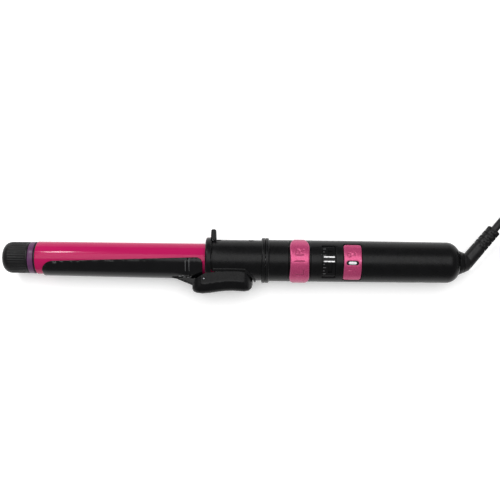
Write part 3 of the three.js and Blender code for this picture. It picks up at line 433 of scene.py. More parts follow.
def inside(line, points):
    """Which of the points lie inside a closed line."""
    a = np.asarray(line)
    b = np.roll(a, -1, 0)
    x, y = points[:, 0][:, None], points[:, 1][:, None]
    crossing = (a[:, 1] > y) != (b[:, 1] > y)
    with np.errstate(divide="ignore", invalid="ignore"):
        where = (b[:, 0] - a[:, 0]) * (y - a[:, 1]) / (b[:, 1] - a[:, 1]) + a[:, 0]
    return (crossing & (x < where)).sum(1) % 2 == 1


def distances(line, points):
    """How far each point is from a closed line."""
    a = np.asarray(line)
    b = np.roll(a, -1, 0)
    ab = b - a
    best = np.full(len(points), 1e9)
    for start, way in zip(a, ab):
        rest = points - start
        share = np.clip((rest @ way) / max(way @ way, 1e-12), 0, 1)
        best = np.minimum(best, np.linalg.norm(rest - share[:, None] * way, axis=1))
    return best


def quarter_round(radius):
    """How deep a rounded edge lies at a distance from its outline."""
    def drop(distance):
        d = np.clip(distance, 0, radius)
        return radius - np.sqrt(np.maximum(radius**2 - (radius - d) ** 2, 0))
    return drop


def skin(outline, place, thickness, holes=(), edge=0.3, back_edge=0.0, grid=(1.5, 1.5), drop=None,
         dense=(), relief=None):
    """(points, faces) of a closed sheet with rounded edges, laid where place(u, v, depth) says.

    outline and holes are closed lines in u and v, in millimetres. The front's edge is rounded by edge, or
    follows drop(distance). grid is the spacing of the points in between; dense lists
    (u0, u1, v0, v1, spacing) patches, and relief(u, v) adds depth to the front.
    """
    drop = drop or quarter_round(edge)
    back_drop = quarter_round(back_edge) if back_edge else lambda d: np.zeros_like(d)
    spacing = min(grid)
    lines = [turned_left(resampled(list(outline), spacing))]
    lines += [turned_left(resampled(list(h), spacing))[::-1] for h in holes]
    shares = (0, 0.06, 0.2, 0.45, 1)
    flat, depths, strips, borders, walls = [], [], [], [], []
    for line in lines:
        previous = None
        for share in shares:
            moved = inset(line, share * edge) if share else np.array(line)
            start = len(flat)
            flat += [tuple(p) for p in moved]
            depths += [share * edge] * len(moved)
            ring = list(range(start, start + len(moved)))
            if previous is None:
                walls.append(ring)
            else:
                for i in range(len(ring)):
                    j = (i + 1) % len(ring)
                    strips.append([previous[i], previous[j], ring[j], ring[i]])
            previous = ring
        borders.append(previous)
    edge_lines = [np.array([flat[i] for i in ring]) for ring in borders]
    low, high = np.min(edge_lines[0], 0), np.max(edge_lines[0], 0)
    patches = [(low[0], high[0], low[1], high[1], grid)]
    patches += [(u0, u1, v0, v1, (s, s)) for u0, u1, v0, v1, s in dense]
    inner = np.zeros((0, 2))
    for k, (u0, u1, v0, v1, (su, sv)) in enumerate(patches):
        us = np.linspace(u0, u1, max(2, round((u1 - u0) / su) + 1))
        vs = np.linspace(v0, v1, max(2, round((v1 - v0) / sv) + 1))
        uu, vv = np.meshgrid(us, vs)
        more = np.stack([uu.ravel(), vv.ravel()], 1)
        for u0b, u1b, v0b, v1b, _ in patches[k + 1 :]:
            hidden = (
                (more[:, 0] > u0b - 0.3 * su) & (more[:, 0] < u1b + 0.3 * su)
                & (more[:, 1] > v0b - 0.3 * sv) & (more[:, 1] < v1b + 0.3 * sv)
            )
            more = more[~hidden]
        keep = inside(edge_lines[0], more)
        for line in edge_lines[1:]:
            keep &= ~inside(line, more)
        more = more[keep]
        for line in edge_lines:
            more = more[distances(line, more) > 0.4 * min(su, sv)]
        inner = np.concatenate([inner, more])
    border_ids = [i for ring in borders for i in ring]
    start = len(flat)
    flat += [tuple(p) for p in inner]
    ids = border_ids + list(range(start, start + len(inner)))
    far = [0.0] * len(inner)
    if len(inner):
        far = np.min([distances(line, inner) for line in lines], 0)
    depths += list(far)
    local = {global_id: k for k, global_id in enumerate(ids)}
    constraints = []
    for ring in borders:
        constraints += [(local[a], local[b]) for a, b in zip(ring, ring[1:] + ring[:1])]
    out = delaunay_2d_cdt([Vector(flat[i]) for i in ids], constraints, [], 0, 1e-7)
    origin = [ids[o[0]] if o else None for o in out[3]]
    triangles = [[origin[i] for i in f] for f in out[2]]
    triangles = [t for t in triangles if None not in t and len(set(t)) == 3]
    middle = np.array([np.mean([flat[i] for i in t], 0) for t in triangles])
    keep = inside(edge_lines[0], middle)
    for line in edge_lines[1:]:
        keep &= ~inside(line, middle)
    triangles = [t for t, k in zip(triangles, keep) if k]
    depth = np.array(depths)
    front = drop(depth)
    if relief:
        front = front + np.array([relief(u, v) for u, v in flat])
    back = thickness - back_drop(depth)
    points = [place(u, v, d) for (u, v), d in zip(flat, front)]
    points += [place(u, v, d) for (u, v), d in zip(flat, back)]
    n = len(flat)
    faces = strips + triangles
    faces = faces + [[i + n for i in reversed(f)] for f in faces]
    for ring in walls:
        faces += [[a, a + n, b + n, b] for a, b in zip(ring, ring[1:] + ring[:1])]
    return points, faces


def box_of(x, y, z, place=at):
    """(points, faces) of a plain block, for cutting."""
    points = [place(a, b, c) for a in x for b in y for c in z]
    faces = [[0, 1, 3, 2], [4, 6, 7, 5], [0, 4, 5, 1], [2, 3, 7, 6], [0, 2, 6, 4], [1, 5, 7, 3]]
    return points, faces


def prism(outline, place, depth):
    """(points, faces) of a plain prism, for cutting."""
    n = len(outline)
    points = [place(u, v, 0) for u, v in outline] + [place(u, v, depth) for u, v in outline]
    faces = [list(range(n)), list(range(2 * n - 1, n - 1, -1))]
    faces += [[i, (i + 1) % n, (i + 1) % n + n, i + n] for i in range(n)]
    return points, faces


def cut(target, *tools, operation="DIFFERENCE"):
    """(points, faces) of target after booleans with the tools."""
    whole, *cutters = [linked("tool", clean_mesh("tool", solid)) for solid in (target, *tools)]
    for cutter in cutters:
        step = whole.modifiers.new("cut", "BOOLEAN")
        step.operation = operation
        step.solver = "EXACT"
        step.object = cutter
    result = whole.evaluated_get(bpy.context.evaluated_depsgraph_get()).to_mesh()
    points = [v.co.copy() for v in result.vertices]
    faces = [list(f.vertices) for f in result.polygons]
    for o in [whole, *cutters]:
        bpy.data.objects.remove(o)
    return points, faces


def sweep(path, radius, sides):
    """(points, faces) of a round bar along a path."""
    points, faces = [], []
    side = None
    for i, centre in enumerate(path):
        ahead = path[min(i + 1, len(path) - 1)]
        behind = path[max(i - 1, 0)]
        along = (ahead - behind).normalized()
        if side is None:
            side = along.orthogonal()
        side = (side - along * side.dot(along)).normalized()
        other = along.cross(side)
        for k in range(sides):
            a = 2 * math.pi * k / sides
            points.append(centre + (side * math.cos(a) + other * math.sin(a)) * radius * MM)
    for start in range(0, (len(path) - 1) * sides, sides):
        for k in range(sides):
            m = (k + 1) % sides
            faces.append([start + k, start + m, start + sides + m, start + sides + k])
    faces.append(list(range(sides))[::-1])
    faces.append(list(range((len(path) - 1) * sides, len(path) * sides)))
    return points, faces


def smooth_line(points, spacing):
    """A Catmull-Rom line through the points, with a point about every spacing."""
    p = [points[0] * 2 - points[1], *points, points[-1] * 2 - points[-2]]
    fine = []
    for i in range(1, len(p) - 2):
        for k in range(16):
            t = k / 16
            a, b, c, d = p[i - 1 : i + 3]
            squared, cubed = 2 * a - 5 * b + 4 * c - d, 3 * b - a - 3 * c + d
            fine.append(0.5 * (2 * b + (c - a) * t + squared * t**2 + cubed * t**3))
    fine.append(p[-2])
    made, gone = [fine[0]], 0.0
    for a, b in zip(fine, fine[1:]):
        gone += (b - a).length
        if gone >= spacing:
            made.append(b)
            gone = 0.0
    if (made[-1] - fine[-1]).length > 1e-6:
        made.append(fine[-1])
    return made


# ---- Cord -----------------------------------------------------------------------------------------------

CORD_RADIUS = 3
CORD_HELD = 4  # this much of the cord is held in the boot's end
ELBOW_X = 160.6
BOOT_ANGLE = math.radians(50)
BOOT_LENGTH = 34.6
LEAD_ROUTE = [
    (183.0, 26.7, 18), (187.5, 32.1, 17.8), (192.2, 37.1, 17.1), (197.4, 41.5, 15.5),
    (203.1, 45.2, 13.0), (209.2, 48.1, 9.8), (215.5, 50.2, 6.6), (222, 51.4, 4.4),
    (229, 52, 3.2), (236, 52.1, 3),
]
COIL_CENTRE = (243, 9)
COIL_RADII = [43, 37, 31, 25, 25, 31, 37, 43]
TAIL_ROUTE = [
    (250.7, 51.4, 10.4), (255, 49.6, 12.2), (258.7, 46.7, 14.4), (261.6, 43, 16.3),
    (263.2, 39.5, 17.8), (263.9, 36.4, 18.7), (264, 33.3, 19.1), (264, 31, 19.1),
]


def eased(share):
    share = max(0.0, share)
    return share * share * (3 - 2 * share)


def coil_route():
    """Four turns inwards on the table, then four outwards on top of them."""
    points, steps = [], 24
    for turn, radius in enumerate(COIL_RADII):
        following = COIL_RADII[min(turn + 1, len(COIL_RADII) - 1)]
        for k in range(steps):
            t = k / steps
            r = radius + (following - radius) * eased((t - 0.8) / 0.2)
            rise = 1.0 if turn > 3 else 0.0
            if turn == 3:
                rise = eased((t - 0.6) / 0.4)
            a = math.radians(90 - 360 * t)
            x = COIL_CENTRE[0] + r * math.cos(a)
            y = COIL_CENTRE[1] + r * math.sin(a)
            points.append((x, y, CORD_RADIUS + 2 * CORD_RADIUS * rise))
    return points + [(COIL_CENTRE[0] + 3, COIL_CENTRE[1] + COIL_RADII[-1], 9.2)]


route = [on_table(*p) for p in LEAD_ROUTE + coil_route() + TAIL_ROUTE]
cord_line = smooth_line(route, 0.0022)
elbow = at(ELBOW_X, 0, 0)
boot_end = at(ELBOW_X + BOOT_LENGTH * math.cos(BOOT_ANGLE), BOOT_LENGTH * math.sin(BOOT_ANGLE), 0)
cord_points = [boot_end - (boot_end - elbow).normalized() * CORD_HELD * MM, *cord_line]
cord_length = sum((b - a).length for a, b in zip(cord_points, cord_points[1:]))
cord_curve = bpy.data.curves.new("cord", "CURVE")
cord_curve.dimensions = "3D"
cord_curve.bevel_depth = CORD_RADIUS * MM
cord_curve.bevel_resolution = 3
cord_curve.use_fill_caps = True
spline = cord_curve.splines.new("POLY")
spline.points.add(len(cord_points) - 1)
for spline_point, place_of_point in zip(spline.points, cord_points):
    spline_point.co = (*place_of_point, 1)
spline.use_smooth = True
cord_piece = linked("mains_cord", cord_curve)
cord_curve.materials.append(finishes["black_rubber"].material)
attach(cord_piece, "cord_set")
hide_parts("cord_lead", "cord_coil", "cord_tail")

# ---- Tip and barrel -------------------------------------------------------------------------------------

RIBS = 40
RIB_DEPTH = 0.3
RIBS_START, RIBS_END = -204, -188.2
TIP_WALL = 11  # only what lies further out than this is ribbed
TIP_FRONT, TIP_NOSE, TIP_NOSE_RADIUS, TIP_RADIUS = -207.8, 6.5, 6.4, 12.4


def ribbed(x, angle, radius):
    """The cool tip's fine grip ribs, which fade out towards both ends."""
    fade = min(max(0, (x - RIBS_START) / 3), max(0, (RIBS_END - x) / 0.8), 1)
    if radius < TIP_WALL:
        return radius
    wave = 0.5 - 0.5 * math.cos(math.radians(RIBS * angle))
    return radius - RIB_DEPTH * fade * wave**0.7


def along_rows(profile, rows):
    """The profile with points added where x passes the given rows on its outer line."""
    made = []
    for (x0, r0), (x1, r1) in zip(profile, profile[1:]):
        made.append((x0, r0))
        for x in rows:
            if x0 < x < x1 and r0 > TIP_WALL:
                made.append((x, r0 + (r1 - r0) * (x - x0) / (x1 - x0)))
    return made + [profile[-1]]


tip_profile = [(TIP_FRONT, 0)]
for k in range(16):
    a = math.radians(6 * k)
    nose_x = TIP_FRONT + TIP_NOSE * (1 - math.cos(a))
    tip_profile.append((nose_x, TIP_NOSE_RADIUS + (TIP_RADIUS - TIP_NOSE_RADIUS) * math.sin(a)))
tip_profile += rounded([(-200, TIP_RADIUS), (-187, 12.5, 0.35), (-187, 10.3), (-203, 8), (-203, 0)])
tip_rows = [-188.9, -188.6, RIBS_END]
piece(
    "tip_cap_ribbed", lathe(along_rows(tip_profile, tip_rows), RIBS * 8, ribbed), "head",
    "black_matte_plastic", ["tip_cap"],
)
ring_profile = rounded([(-186.7, 10.9), (-186.7, 12.6, 0.35), (-182.4, 12.7, 0.35), (-182.4, 10.9)])
piece(
    "tip_ring_clear", lathe(ring_profile + ring_profile[:1], 128), "head",
    "purple_clear_plastic", ["tip_ring"],
)
barrel_profile = rounded(
    [(-180.9, 12), (-180.9, 13, 0.45), *((x, 13) for x in (-150, -120, -90, -60, -40)), (-40, 12)], steps=5
)
piece(
    "barrel_coated", lathe(barrel_profile + barrel_profile[:1], 144), "head", "barrel_pink",
    ["barrel_tube"],
)

# ---- Head housing ---------------------------------------------------------------------------------------

SCREW_RECESSES = (-37.2, -11.2)
RECESS_Z = 3.4
WINDOW_PLAN = [(-48, 13.5), (-20, 13.5), (-15.5, 13.0), (-12.6, 11.1), (-10.7, 8.4), (-9.4, 5), (-8.9, 2)]


def plan_loop(edge):
    return edge + [(x, -z) for x, z in reversed(edge)]


def toward_end(x):
    """0 along the window's straight sides, and 1 at its rear end."""
    return (x + 20) / 11


def smooth_plan(points):
    """The window's plan edge as a smooth line, from its front to its rear end."""
    line = [Vector((x, 0, z)) for x, z in points]
    line.append(Vector((points[-1][0], 0, -points[-1][1])))
    fine = smooth_line(line, 0.35)
    return [(p.x, p.z) for p in fine if p.z > 0]


def inset_plan(gap):
    """The window's plan drawn in by a gap all round."""
    made = []
    for x, z in WINDOW_PLAN:
        share = min(1, max(0.0, toward_end(x)))
        made.append((x - gap * share, z - 0.1 - 0.6 * share))
    return made


def housing():
    profile = rounded(
        [
            (-47.2, 13.5), (-47.2, 17.9, 1.7), (-42.4, 17.9, 0.7), (-42.4, 15.5), (-41.6, 15.5),
            (-41.6, 16.1, 0.3), (-30, 16.1), (-20, 16.1), (-10, 16.1), (-2.9, 16.1), (-2.9, 18, 0.95),
            (-0.15, 18, 0.3), (-0.15, 14.5), (-43.3, 14.5), (-43.3, 13.5),
        ],
        steps=5,
    )
    body = lathe(profile + profile[:1], 160)
    edge = smooth_plan(WINDOW_PLAN)
    window = prism(plan_loop(edge), lambda x, z, depth: at(x, -3.4 - depth, z), 22)
    recesses = [
        prism(ring_of(x, RECESS_Z, 2.1, 2.4), lambda u, z, depth: at(u, 20 - depth, z), 9)
        for x in SCREW_RECESSES
    ]
    below_flange = box_of((-49, -42.3), (-26, -9.7), (-20, 20))
    return cut(body, window, below_flange, *recesses)


def window_lip():
    """A rounded rim that runs round the lever's window."""
    edge = [(x, z) for x, z in smooth_plan(WINDOW_PLAN) if x > -42.2]
    out = 0.85  # how far outside the window's edge the rim's middle runs
    outline = [(x + out * max(0, toward_end(x)), z + out * min(1, max(0.0, z / 9))) for x, z in edge]
    path = []
    for x, z in plan_loop(outline):
        swell = 15.9 + 0.85 * max(0.0, 1 - abs(z) / 9)
        path.append(at(x, -math.sqrt(swell**2 - z * z), z))
    return sweep(smooth_line(path, 0.6 * MM), 0.95, 14)


def rest_fin():
    outline = rounded(
        [(-43.4, 14.6), (-43.0, 24.4, 1.3), (-39.3, 24.4, 1.3), (-38.8, 14.6)], closed=True, steps=5
    )
    return skin(outline, level(6), 12, edge=1.1, back_edge=1.1, grid=(1, 1))


piece("head_housing", housing(), "head", "black_satin_plastic", ["head_sleeve"], sharp=32)
piece("window_rim", window_lip(), "head", "black_satin_plastic")
piece("rest_fin", rest_fin(), "head", "black_satin_plastic")


def screw_head(x, y, z, facing):
    """(points, faces) of a pan head with a cross recess, its top at the place given, facing along facing."""
    profile = rounded([(0, 0), (0, 1.62, 0.5), (-1.35, 1.7, 0.1), (-1.35, 0)], steps=4)
    turn = Vector((1, 0, 0)).rotation_difference(Vector(facing)).to_matrix()

    def turned(u, v, w):
        return at(x, y, z) + turn @ Vector((u, v, w)) * MM

    def place(u, angle, radius):
        a = math.radians(angle)
        return turned(u, radius * math.cos(a), radius * math.sin(a))

    def bar(wide, tall):
        return box_of((-0.75, 0.3), (-wide, wide), (-tall, tall), turned)

    return cut(lathe(profile, 32, place=place), bar(1.0, 0.2), bar(0.2, 1.0))


for k, x in enumerate(SCREW_RECESSES):
    piece(
        f"housing_screw_{k + 1}", screw_head(x, 13.6, RECESS_Z, (0, 1, 0)), "head", "steel_bright",
        [("sleeve_screw_front", "sleeve_screw_rear")[k]],
    )

# ---- Clamp plate and lever ------------------------------------------------------------------------------

PLATE_X = (-175.2, -49.1)
BEADS_X = (-62.4, -59.5)
PIN_X, PIN_Y = -47.9, -14.5
DEGREE = math.radians(1) * 14.8  # millimetres of the plate's wall in a degree


def plate_radius(x):
    share = (x - PLATE_X[0]) / (PLATE_X[1] - PLATE_X[0])
    return 14.2 + 1.3 * share


def bell(distance, width):
    return math.exp(-((distance / width) ** 2))


def clamp_plate():
    def creased(x, v):
        """Two pressed steps across the root of the plate, and the swell where the arm leaves it."""
        steps = sum(0.35 * bell(x - c, 0.42) for c in BEADS_X)
        from_middle = abs(v / DEGREE - 90)
        fade = 1 / (1 + math.exp((from_middle - 84) * 0.5))
        swell = 0.9 * bell(x + 62, 5.5) * bell(from_middle - 40, 13)
        return -(steps * fade + swell)

    front_low, rear_low = 9.7, -8.5
    outline = rounded(
        [
            (PLATE_X[0], (180 - front_low) * DEGREE, 9.5), (PLATE_X[0], front_low * DEGREE, 9.5),
            (PLATE_X[1], rear_low * DEGREE, 5), (PLATE_X[1], (180 - rear_low) * DEGREE, 5),
        ],
        closed=True, steps=10,
    )
    return skin(
        outline,
        lambda x, v, depth: around(x, v / DEGREE, plate_radius(x) - depth),
        0.8, edge=0.35, back_edge=0.3, grid=(4, 1.3), relief=creased,
        dense=[(-72, -53, 6 * DEGREE, 174 * DEGREE, 0.55)],
    )


def clamp_arm():
    """The arm's strip, and the two cheeks that brace it against the plate."""
    strip = rounded(
        [
            (-73.5, -14.5), (-69.3, -15.5, 2), (-58, -20.0, 2), (-54.6, -22.1, 2), (-31, -22.3),
            (-31, -21.3), (-54.3, -21.1, 2), (-57.7, -19, 2), (-68.5, -14.8, 2), (-71, -14.2),
        ],
        closed=True, steps=4,
    )
    cheek = rounded(
        [(-71, -14.2), (-69, -15.2, 2), (-58, -19.6), (-54.9, -21.4), (-54.9, -14.3), (-60, -14.1)],
        closed=True, steps=4,
    )
    made = [skin(strip, level(6.5), 13, back_edge=0.3, grid=(1, 0.5))]
    made += [skin(cheek, level(top), 1, back_edge=0.3, grid=(1, 1)) for top in (6.4, -5.4)]
    return merged(*made)


piece("clamp_plate_pressed", clamp_plate(), "clamp", "clamp_gloss_black", ["clamp_plate"], sharp=50)
piece("clamp_arm", clamp_arm(), "clamp", "clamp_gloss_black")

# Painted highlights: light grey spots that stand in for glints at the foot of the plate's beads.
GLINT_SPOTS = [  # x, angle, half length, half width
    (-66.8, 55, 1.5, 0.55), (-64.6, 51, 1.0, 0.5), (-63.1, 59, 1.6, 0.6), (-60.6, 61, 1.2, 0.55),
    (-58.8, 58, 1.0, 0.5),
]


def glint_spot(x, angle, length, width):
    profile = rounded([(-0.3, 0), (-0.3, 1, 0.2), (0.35, 0.75, 0.3), (0.35, 0)], steps=3)
    middle = plate_radius(x) + 0.55

    def place(height, a, r):
        t = math.radians(a)
        return around(
            x + length * r * math.cos(t), angle + width * r * math.sin(t) * 3.9, middle + height
        )

    return lathe(profile, 24, place=place)


def plate_beads():
    """The beads pressed across the root of the plate, and a few spots below them, in a light grey that is painted
    highlight: it stands in for the glints there.
    """
    made = []
    for x, first, last in ((BEADS_X[0], 2, 50), (BEADS_X[1], -4, 56)):
        arc = [around(x, first + (last - first) * k / 24, plate_radius(x) + 0.3) for k in range(25)]
        made.append(sweep(arc, 0.2, 8))
    return merged(*made, *(glint_spot(*spot) for spot in GLINT_SPOTS))


# Painted highlight: a light grey for the beads and spots, standing in for their glints.
painted_glint_grey = moulded("plate_glint_paint", (0.06, 0.06, 0.062), (0.16, 0.16, 0.165), 0.35)
piece("plate_beads", plate_beads(), "clamp", finish=painted_glint_grey)

LEVER_HALF_WIDTH = 12.8
LEVER_OUTLINE = [
    (-57.0, 6.0), (-57.2, -20.2, 2), (-57.5, -22.8, 2), (-56.2, -25.2, 2), (-53.6, -26.3, 3),
    (-49, -26.7, 8), (-43.5, -26.2, 12), (-37.5, -25.2, 12), (-31.5, -24.45, 12), (-25.5, -24.2, 12),
    (-16.6, -24.7, 3), (-12.7, -24.1, 3), (-10.4, -21.7, 2.5), (-9.3, -18.5, 3), (-9.2, 6.0),
]
LEVER_TOP = [
    (-60, -19.4), (-57.0, -19.2), (-54.8, -15), (-51, -12.6), (-47.7, -10.7), (-46.3, -10),
    (-44.9, -9.6), (-34, -9.5), (-32.6, -8.7), (-20, -8.7), (-15.8, -9.4), (-11.8, -12.4), (-9.7, -15),
    (-7, -17), (-7, 9), (-60, 9),
]
# The hollow under the lever: its front, then the rear ends of the main part and of the way for the spindle,
# and the wider and shallower part that goes over the bracket.
HOLLOW_FRONT = [
    (-55.8, -4), (-56, -22.2), (-54.8, -24.2), (-49, -25), (-43, -24.6), (-31, -22.8), (-17, -22.9),
]
HOLLOW_REAR = [(-14.6, -21.4), (-13.5, -17.9), (-13.5, -4)]
SPINDLE_WAY_REAR = [(-12.9, -21), (-11.4, -17.5), (-11.4, -4)]
BRACKET_WAY = [
    (-55.8, -4), (-52.6, -16.4), (-50.5, -17.6), (-44, -19.2), (-34, -20), (-17.4, -19.6), (-15.9, -17.6),
    (-15.6, -4),
]


def thumb_edge(distance):
    """The lever's side: a long rounded edge with a crease near its top and another half way."""
    d = np.asarray(distance, float)
    low = 6.2 - np.sqrt(np.maximum(6.2**2 - (6.2 - np.clip(d, 0, 6.2)) ** 2, 0))
    slope = 0.62 * np.clip((7.4 - d) / 2.2, 0, 1)
    ridge = -0.22 * np.exp(-(((d - 7.5) / 0.45) ** 2)) - 0.14 * np.exp(-(((d - 5.2) / 0.4) ** 2))
    return low * 0.93 + slope + ridge


def both_ways(outline, half_width):
    return prism(outline, level(half_width), 2 * half_width)


def symmetric_lever():
    """The lever's two sides are alike, so the front sheet is mirrored for the back."""
    front_points, front_faces = skin(
        rounded(LEVER_OUTLINE, closed=True), lambda u, v, depth: (u, v, depth), LEVER_HALF_WIDTH,
        drop=thumb_edge, edge=2.0, grid=(0.8, 0.8),
    )
    count = len(front_points) // 2
    points = [at(u, v, LEVER_HALF_WIDTH - depth) for u, v, depth in front_points[:count]]
    points += [at(u, v, depth - LEVER_HALF_WIDTH) for u, v, depth in front_points[:count]]
    faces = []
    for face in front_faces:
        if all(i < count for i in face):
            faces.append(face)
            faces.append([i + count for i in reversed(face)])
        elif any(i < count for i in face):
            faces.append(face)
    plan = [(-60, 13.6)] + [(x, z) for x, z in smooth_plan(inset_plan(0.8)) if x > -48]
    fitting = prism(plan_loop(plan), lambda x, z, depth: at(x, 10 - depth, z), 42)
    body = cut((points, faces), fitting, operation="INTERSECT")
    return cut(
        body, both_ways(LEVER_TOP, 16), both_ways(HOLLOW_FRONT + HOLLOW_REAR, 9),
        both_ways(HOLLOW_FRONT + SPINDLE_WAY_REAR, 6.5), both_ways(BRACKET_WAY, 11.2),
        box_of((-59, -54), (-23, -14), (-6.9, 6.9)), both_ways(ring_of(PIN_X, PIN_Y, 1.2), 16),
    )


piece("thumb_lever", symmetric_lever(), "clamp", "black_satin_plastic", ["lever_pad"], sharp=40)

SPRING = dict(x=-26.5, low=-21.9, high=-7.7, radius=3.6, wire=0.45, turns=6)


def spring_line():
    """A compression spring with closed ends."""
    count = SPRING["turns"] * 28
    points = []
    for i in range(count + 1):
        t = i / count
        turn = t * SPRING["turns"]
        rise = min(max((turn - 0.75) / (SPRING["turns"] - 1.5), 0), 1)
        y = SPRING["low"] + 0.5 + (SPRING["high"] - SPRING["low"] - 1) * (0.08 * t + 0.92 * rise)
        a = 2 * math.pi * turn
        radius = SPRING["radius"]
        points.append(at(SPRING["x"] + radius * math.cos(a), y, radius * math.sin(a)))
    return points


spring_body = sweep(spring_line(), SPRING["wire"], 10)
spring = piece("closing_spring", spring_body, "head", "steel_bright", ["clamp_spring"])
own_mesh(spring)


def hinge_pin():
    """The pin with its two domed ends."""
    half = [(-13.1, 0), (-13.1, 0.4), (-12.6, 0.9, 0.3), (-5, 0.9)]

    def place(z, angle, radius):
        a = math.radians(angle)
        return at(PIN_X + radius * math.cos(a), PIN_Y + radius * math.sin(a), z)

    return lathe(rounded(half + [(-z, *rest) for z, *rest in reversed(half)]), 32, place=place)


piece("hinge_pin_domed", hinge_pin(), "head", "steel_bright", ["hinge_pin"])

# ---- Handle ---------------------------------------------------------------------------------------------

GRIP_RADIUS = 16.5
HANDLE_DEGREE = math.radians(1) * GRIP_RADIUS  # millimetres of the grip's surface in a degree
DOME = [(145.2, 16.2), (149.6, 15.9), (152.7, 12.4), (153.6, 10.2)]


def dome_points(count=14):
    made = []
    for i in range(count + 1):
        t = i / count
        w = ((1 - t) ** 3, 3 * (1 - t) ** 2 * t, 3 * (1 - t) * t * t, t**3)
        made.append(tuple(sum(a * p[k] for a, p in zip(w, DOME)) for k in (0, 1)))
    return made


# The shells are laid out by length along their profile, so that the steep dome gets even faces.
HANDLE_PROFILE = rounded(
    [
        (HANDLE_START, 15.8), (HANDLE_START, 18, 0.3), (2.85, 18, 0.95), (2.85, GRIP_RADIUS, 0.25),
        (60, GRIP_RADIUS),
    ],
    steps=5,
) + dome_points()
profile_length = [0.0]
for (x0, r0), (x1, r1) in zip(HANDLE_PROFILE, HANDLE_PROFILE[1:]):
    profile_length.append(profile_length[-1] + math.hypot(x1 - x0, r1 - r0))
profile_x = [p[0] for p in HANDLE_PROFILE]
profile_r = [p[1] for p in HANDLE_PROFILE]


def profile_at(s):
    return float(np.interp(s, profile_length, profile_x)), float(np.interp(s, profile_length, profile_r))


def length_at(x):
    """How far along the profile a place on the straight grip lies."""
    k = max(i for i, px in enumerate(profile_x) if px <= x and i < len(profile_x) - 1)
    share = (x - profile_x[k]) / (profile_x[k + 1] - profile_x[k])
    return profile_length[k] + share * (profile_length[k + 1] - profile_length[k])


def grip_place(s, v, depth):
    x, r = profile_at(s)
    return around(x, v / HANDLE_DEGREE, r - depth)


def arc_patch(u0, u1, a0, a1, corner, steps=6):
    """A rounded rectangle on a cylinder, between two places along it and two angles."""
    return rounded(
        [
            (u0, a1 * HANDLE_DEGREE, corner), (u0, a0 * HANDLE_DEGREE, corner),
            (u1, a0 * HANDLE_DEGREE, corner), (u1, a1 * HANDLE_DEGREE, corner),
        ],
        closed=True, steps=steps,
    )


def shell(first, last, holes=(), relief=None, dense=()):
    """(points, faces) of a handle half between two angles, with rounded edges and openings."""
    end = profile_length[-1]
    count = round(end / 3)
    steps = sorted({round(s, 5) for s in profile_length} | {end * k / count for k in range(count)} | {end})
    v0, v1 = first * HANDLE_DEGREE, last * HANDLE_DEGREE
    outline = [(s, v0) for s in steps] + [(s, v1) for s in reversed(steps)]
    dense_ends = [
        (0.4, 7.2, v0 + 0.3, v1 - 0.3, 0.45),
        (length_at(144.5), end - 0.3, v0 + 0.3, v1 - 0.3, 0.7),
    ]
    return skin(
        outline, grip_place, 1.7, holes=holes, edge=0.25, grid=(2.6, 0.9), relief=relief,
        dense=dense_ends + list(dense),
    )


def channels(s, v):
    """A narrow groove along both edges of the direction band, on the upper half."""
    x, _ = profile_at(s)
    fade = min(1, max(0.0, (86 - abs(v / HANDLE_DEGREE)) / 6))
    depth = 0.0
    for c in (18.45, 35.05):
        depth += 0.55 * max(0.0, 1 - ((x - c) / 0.62) ** 4)
    return depth * fade


PARTING = 89.5  # each half ends here, which leaves the fine parting line
grip_edge = PARTING * HANDLE_DEGREE
upper = shell(
    -PARTING, PARTING,
    holes=[
        arc_patch(length_at(44.1), length_at(55), -48, 52, 1.6),
        arc_patch(length_at(60.7), length_at(75.5), -56, 64, 2.6),
    ],
    relief=channels,
    dense=[
        (length_at(x0), length_at(x1), -grip_edge + 0.4, grip_edge - 0.4, 0.35)
        for x0, x1 in ((17.4, 19.4), (34.1, 36.1))
    ],
)
piece("handle_upper_half", upper, "handle", "black_satin_plastic", ["handle_shell_upper"], sharp=50)

SHELL_SCREWS = [(x, y) for x in (42, 126) for y in (-11.2, 11.2)]
WELL_RADIUS = 2.1


def on_underside(x, y):
    """Where a place on the underside lies on the shell's sheet."""
    return length_at(x), (180 - math.degrees(math.asin(-y / GRIP_RADIUS))) * HANDLE_DEGREE


lower_holes = [[on_underside(*p) for p in ring_of(x, y, WELL_RADIUS)] for x, y in SHELL_SCREWS]
lower = shell(180 - PARTING, 180 + PARTING, holes=lower_holes)
piece("handle_lower_half", lower, "handle", "black_satin_plastic", ["handle_shell_lower"], sharp=50)

for k, (x, y) in enumerate(SHELL_SCREWS):
    wall = prism(ring_of(x, y, WELL_RADIUS + 0.4), lambda u, v, depth: at(u, v, -11.5 + depth), 3.1)
    hole = prism(ring_of(x, y, WELL_RADIUS), lambda u, v, depth: at(u, v, -13 + depth), 3.6)
    within_grip = prism(ring_of(0, 0, 16.3, count=72), lambda u, v, depth: at(x - 4 + depth, u, v), 8)
    well = cut(cut(wall, within_grip, operation="INTERSECT"), hole)
    piece(f"screw_well_{k + 1}", well, "handle", "black_satin_plastic")
    piece(f"handle_screw_head_{k + 1}", screw_head(x, y, -9.9, (0, 0, -1)), "handle", "steel_bright")

# ---- Controls -------------------------------------------------------------------------------------------


def sheet_at(radius):
    """Lays a sheet on a cylinder; u is x and v is the angle, in millimetres at the grip's radius."""
    def place(u, v, depth):
        return around(u, v / HANDLE_DEGREE, radius - depth)
    return place


def fine_patch(x0, x1, a0, a1):
    """A patch of closely spaced points, for engraved marks."""
    return x0, x1, a0 * HANDLE_DEGREE, a1 * HANDLE_DEGREE, 0.28


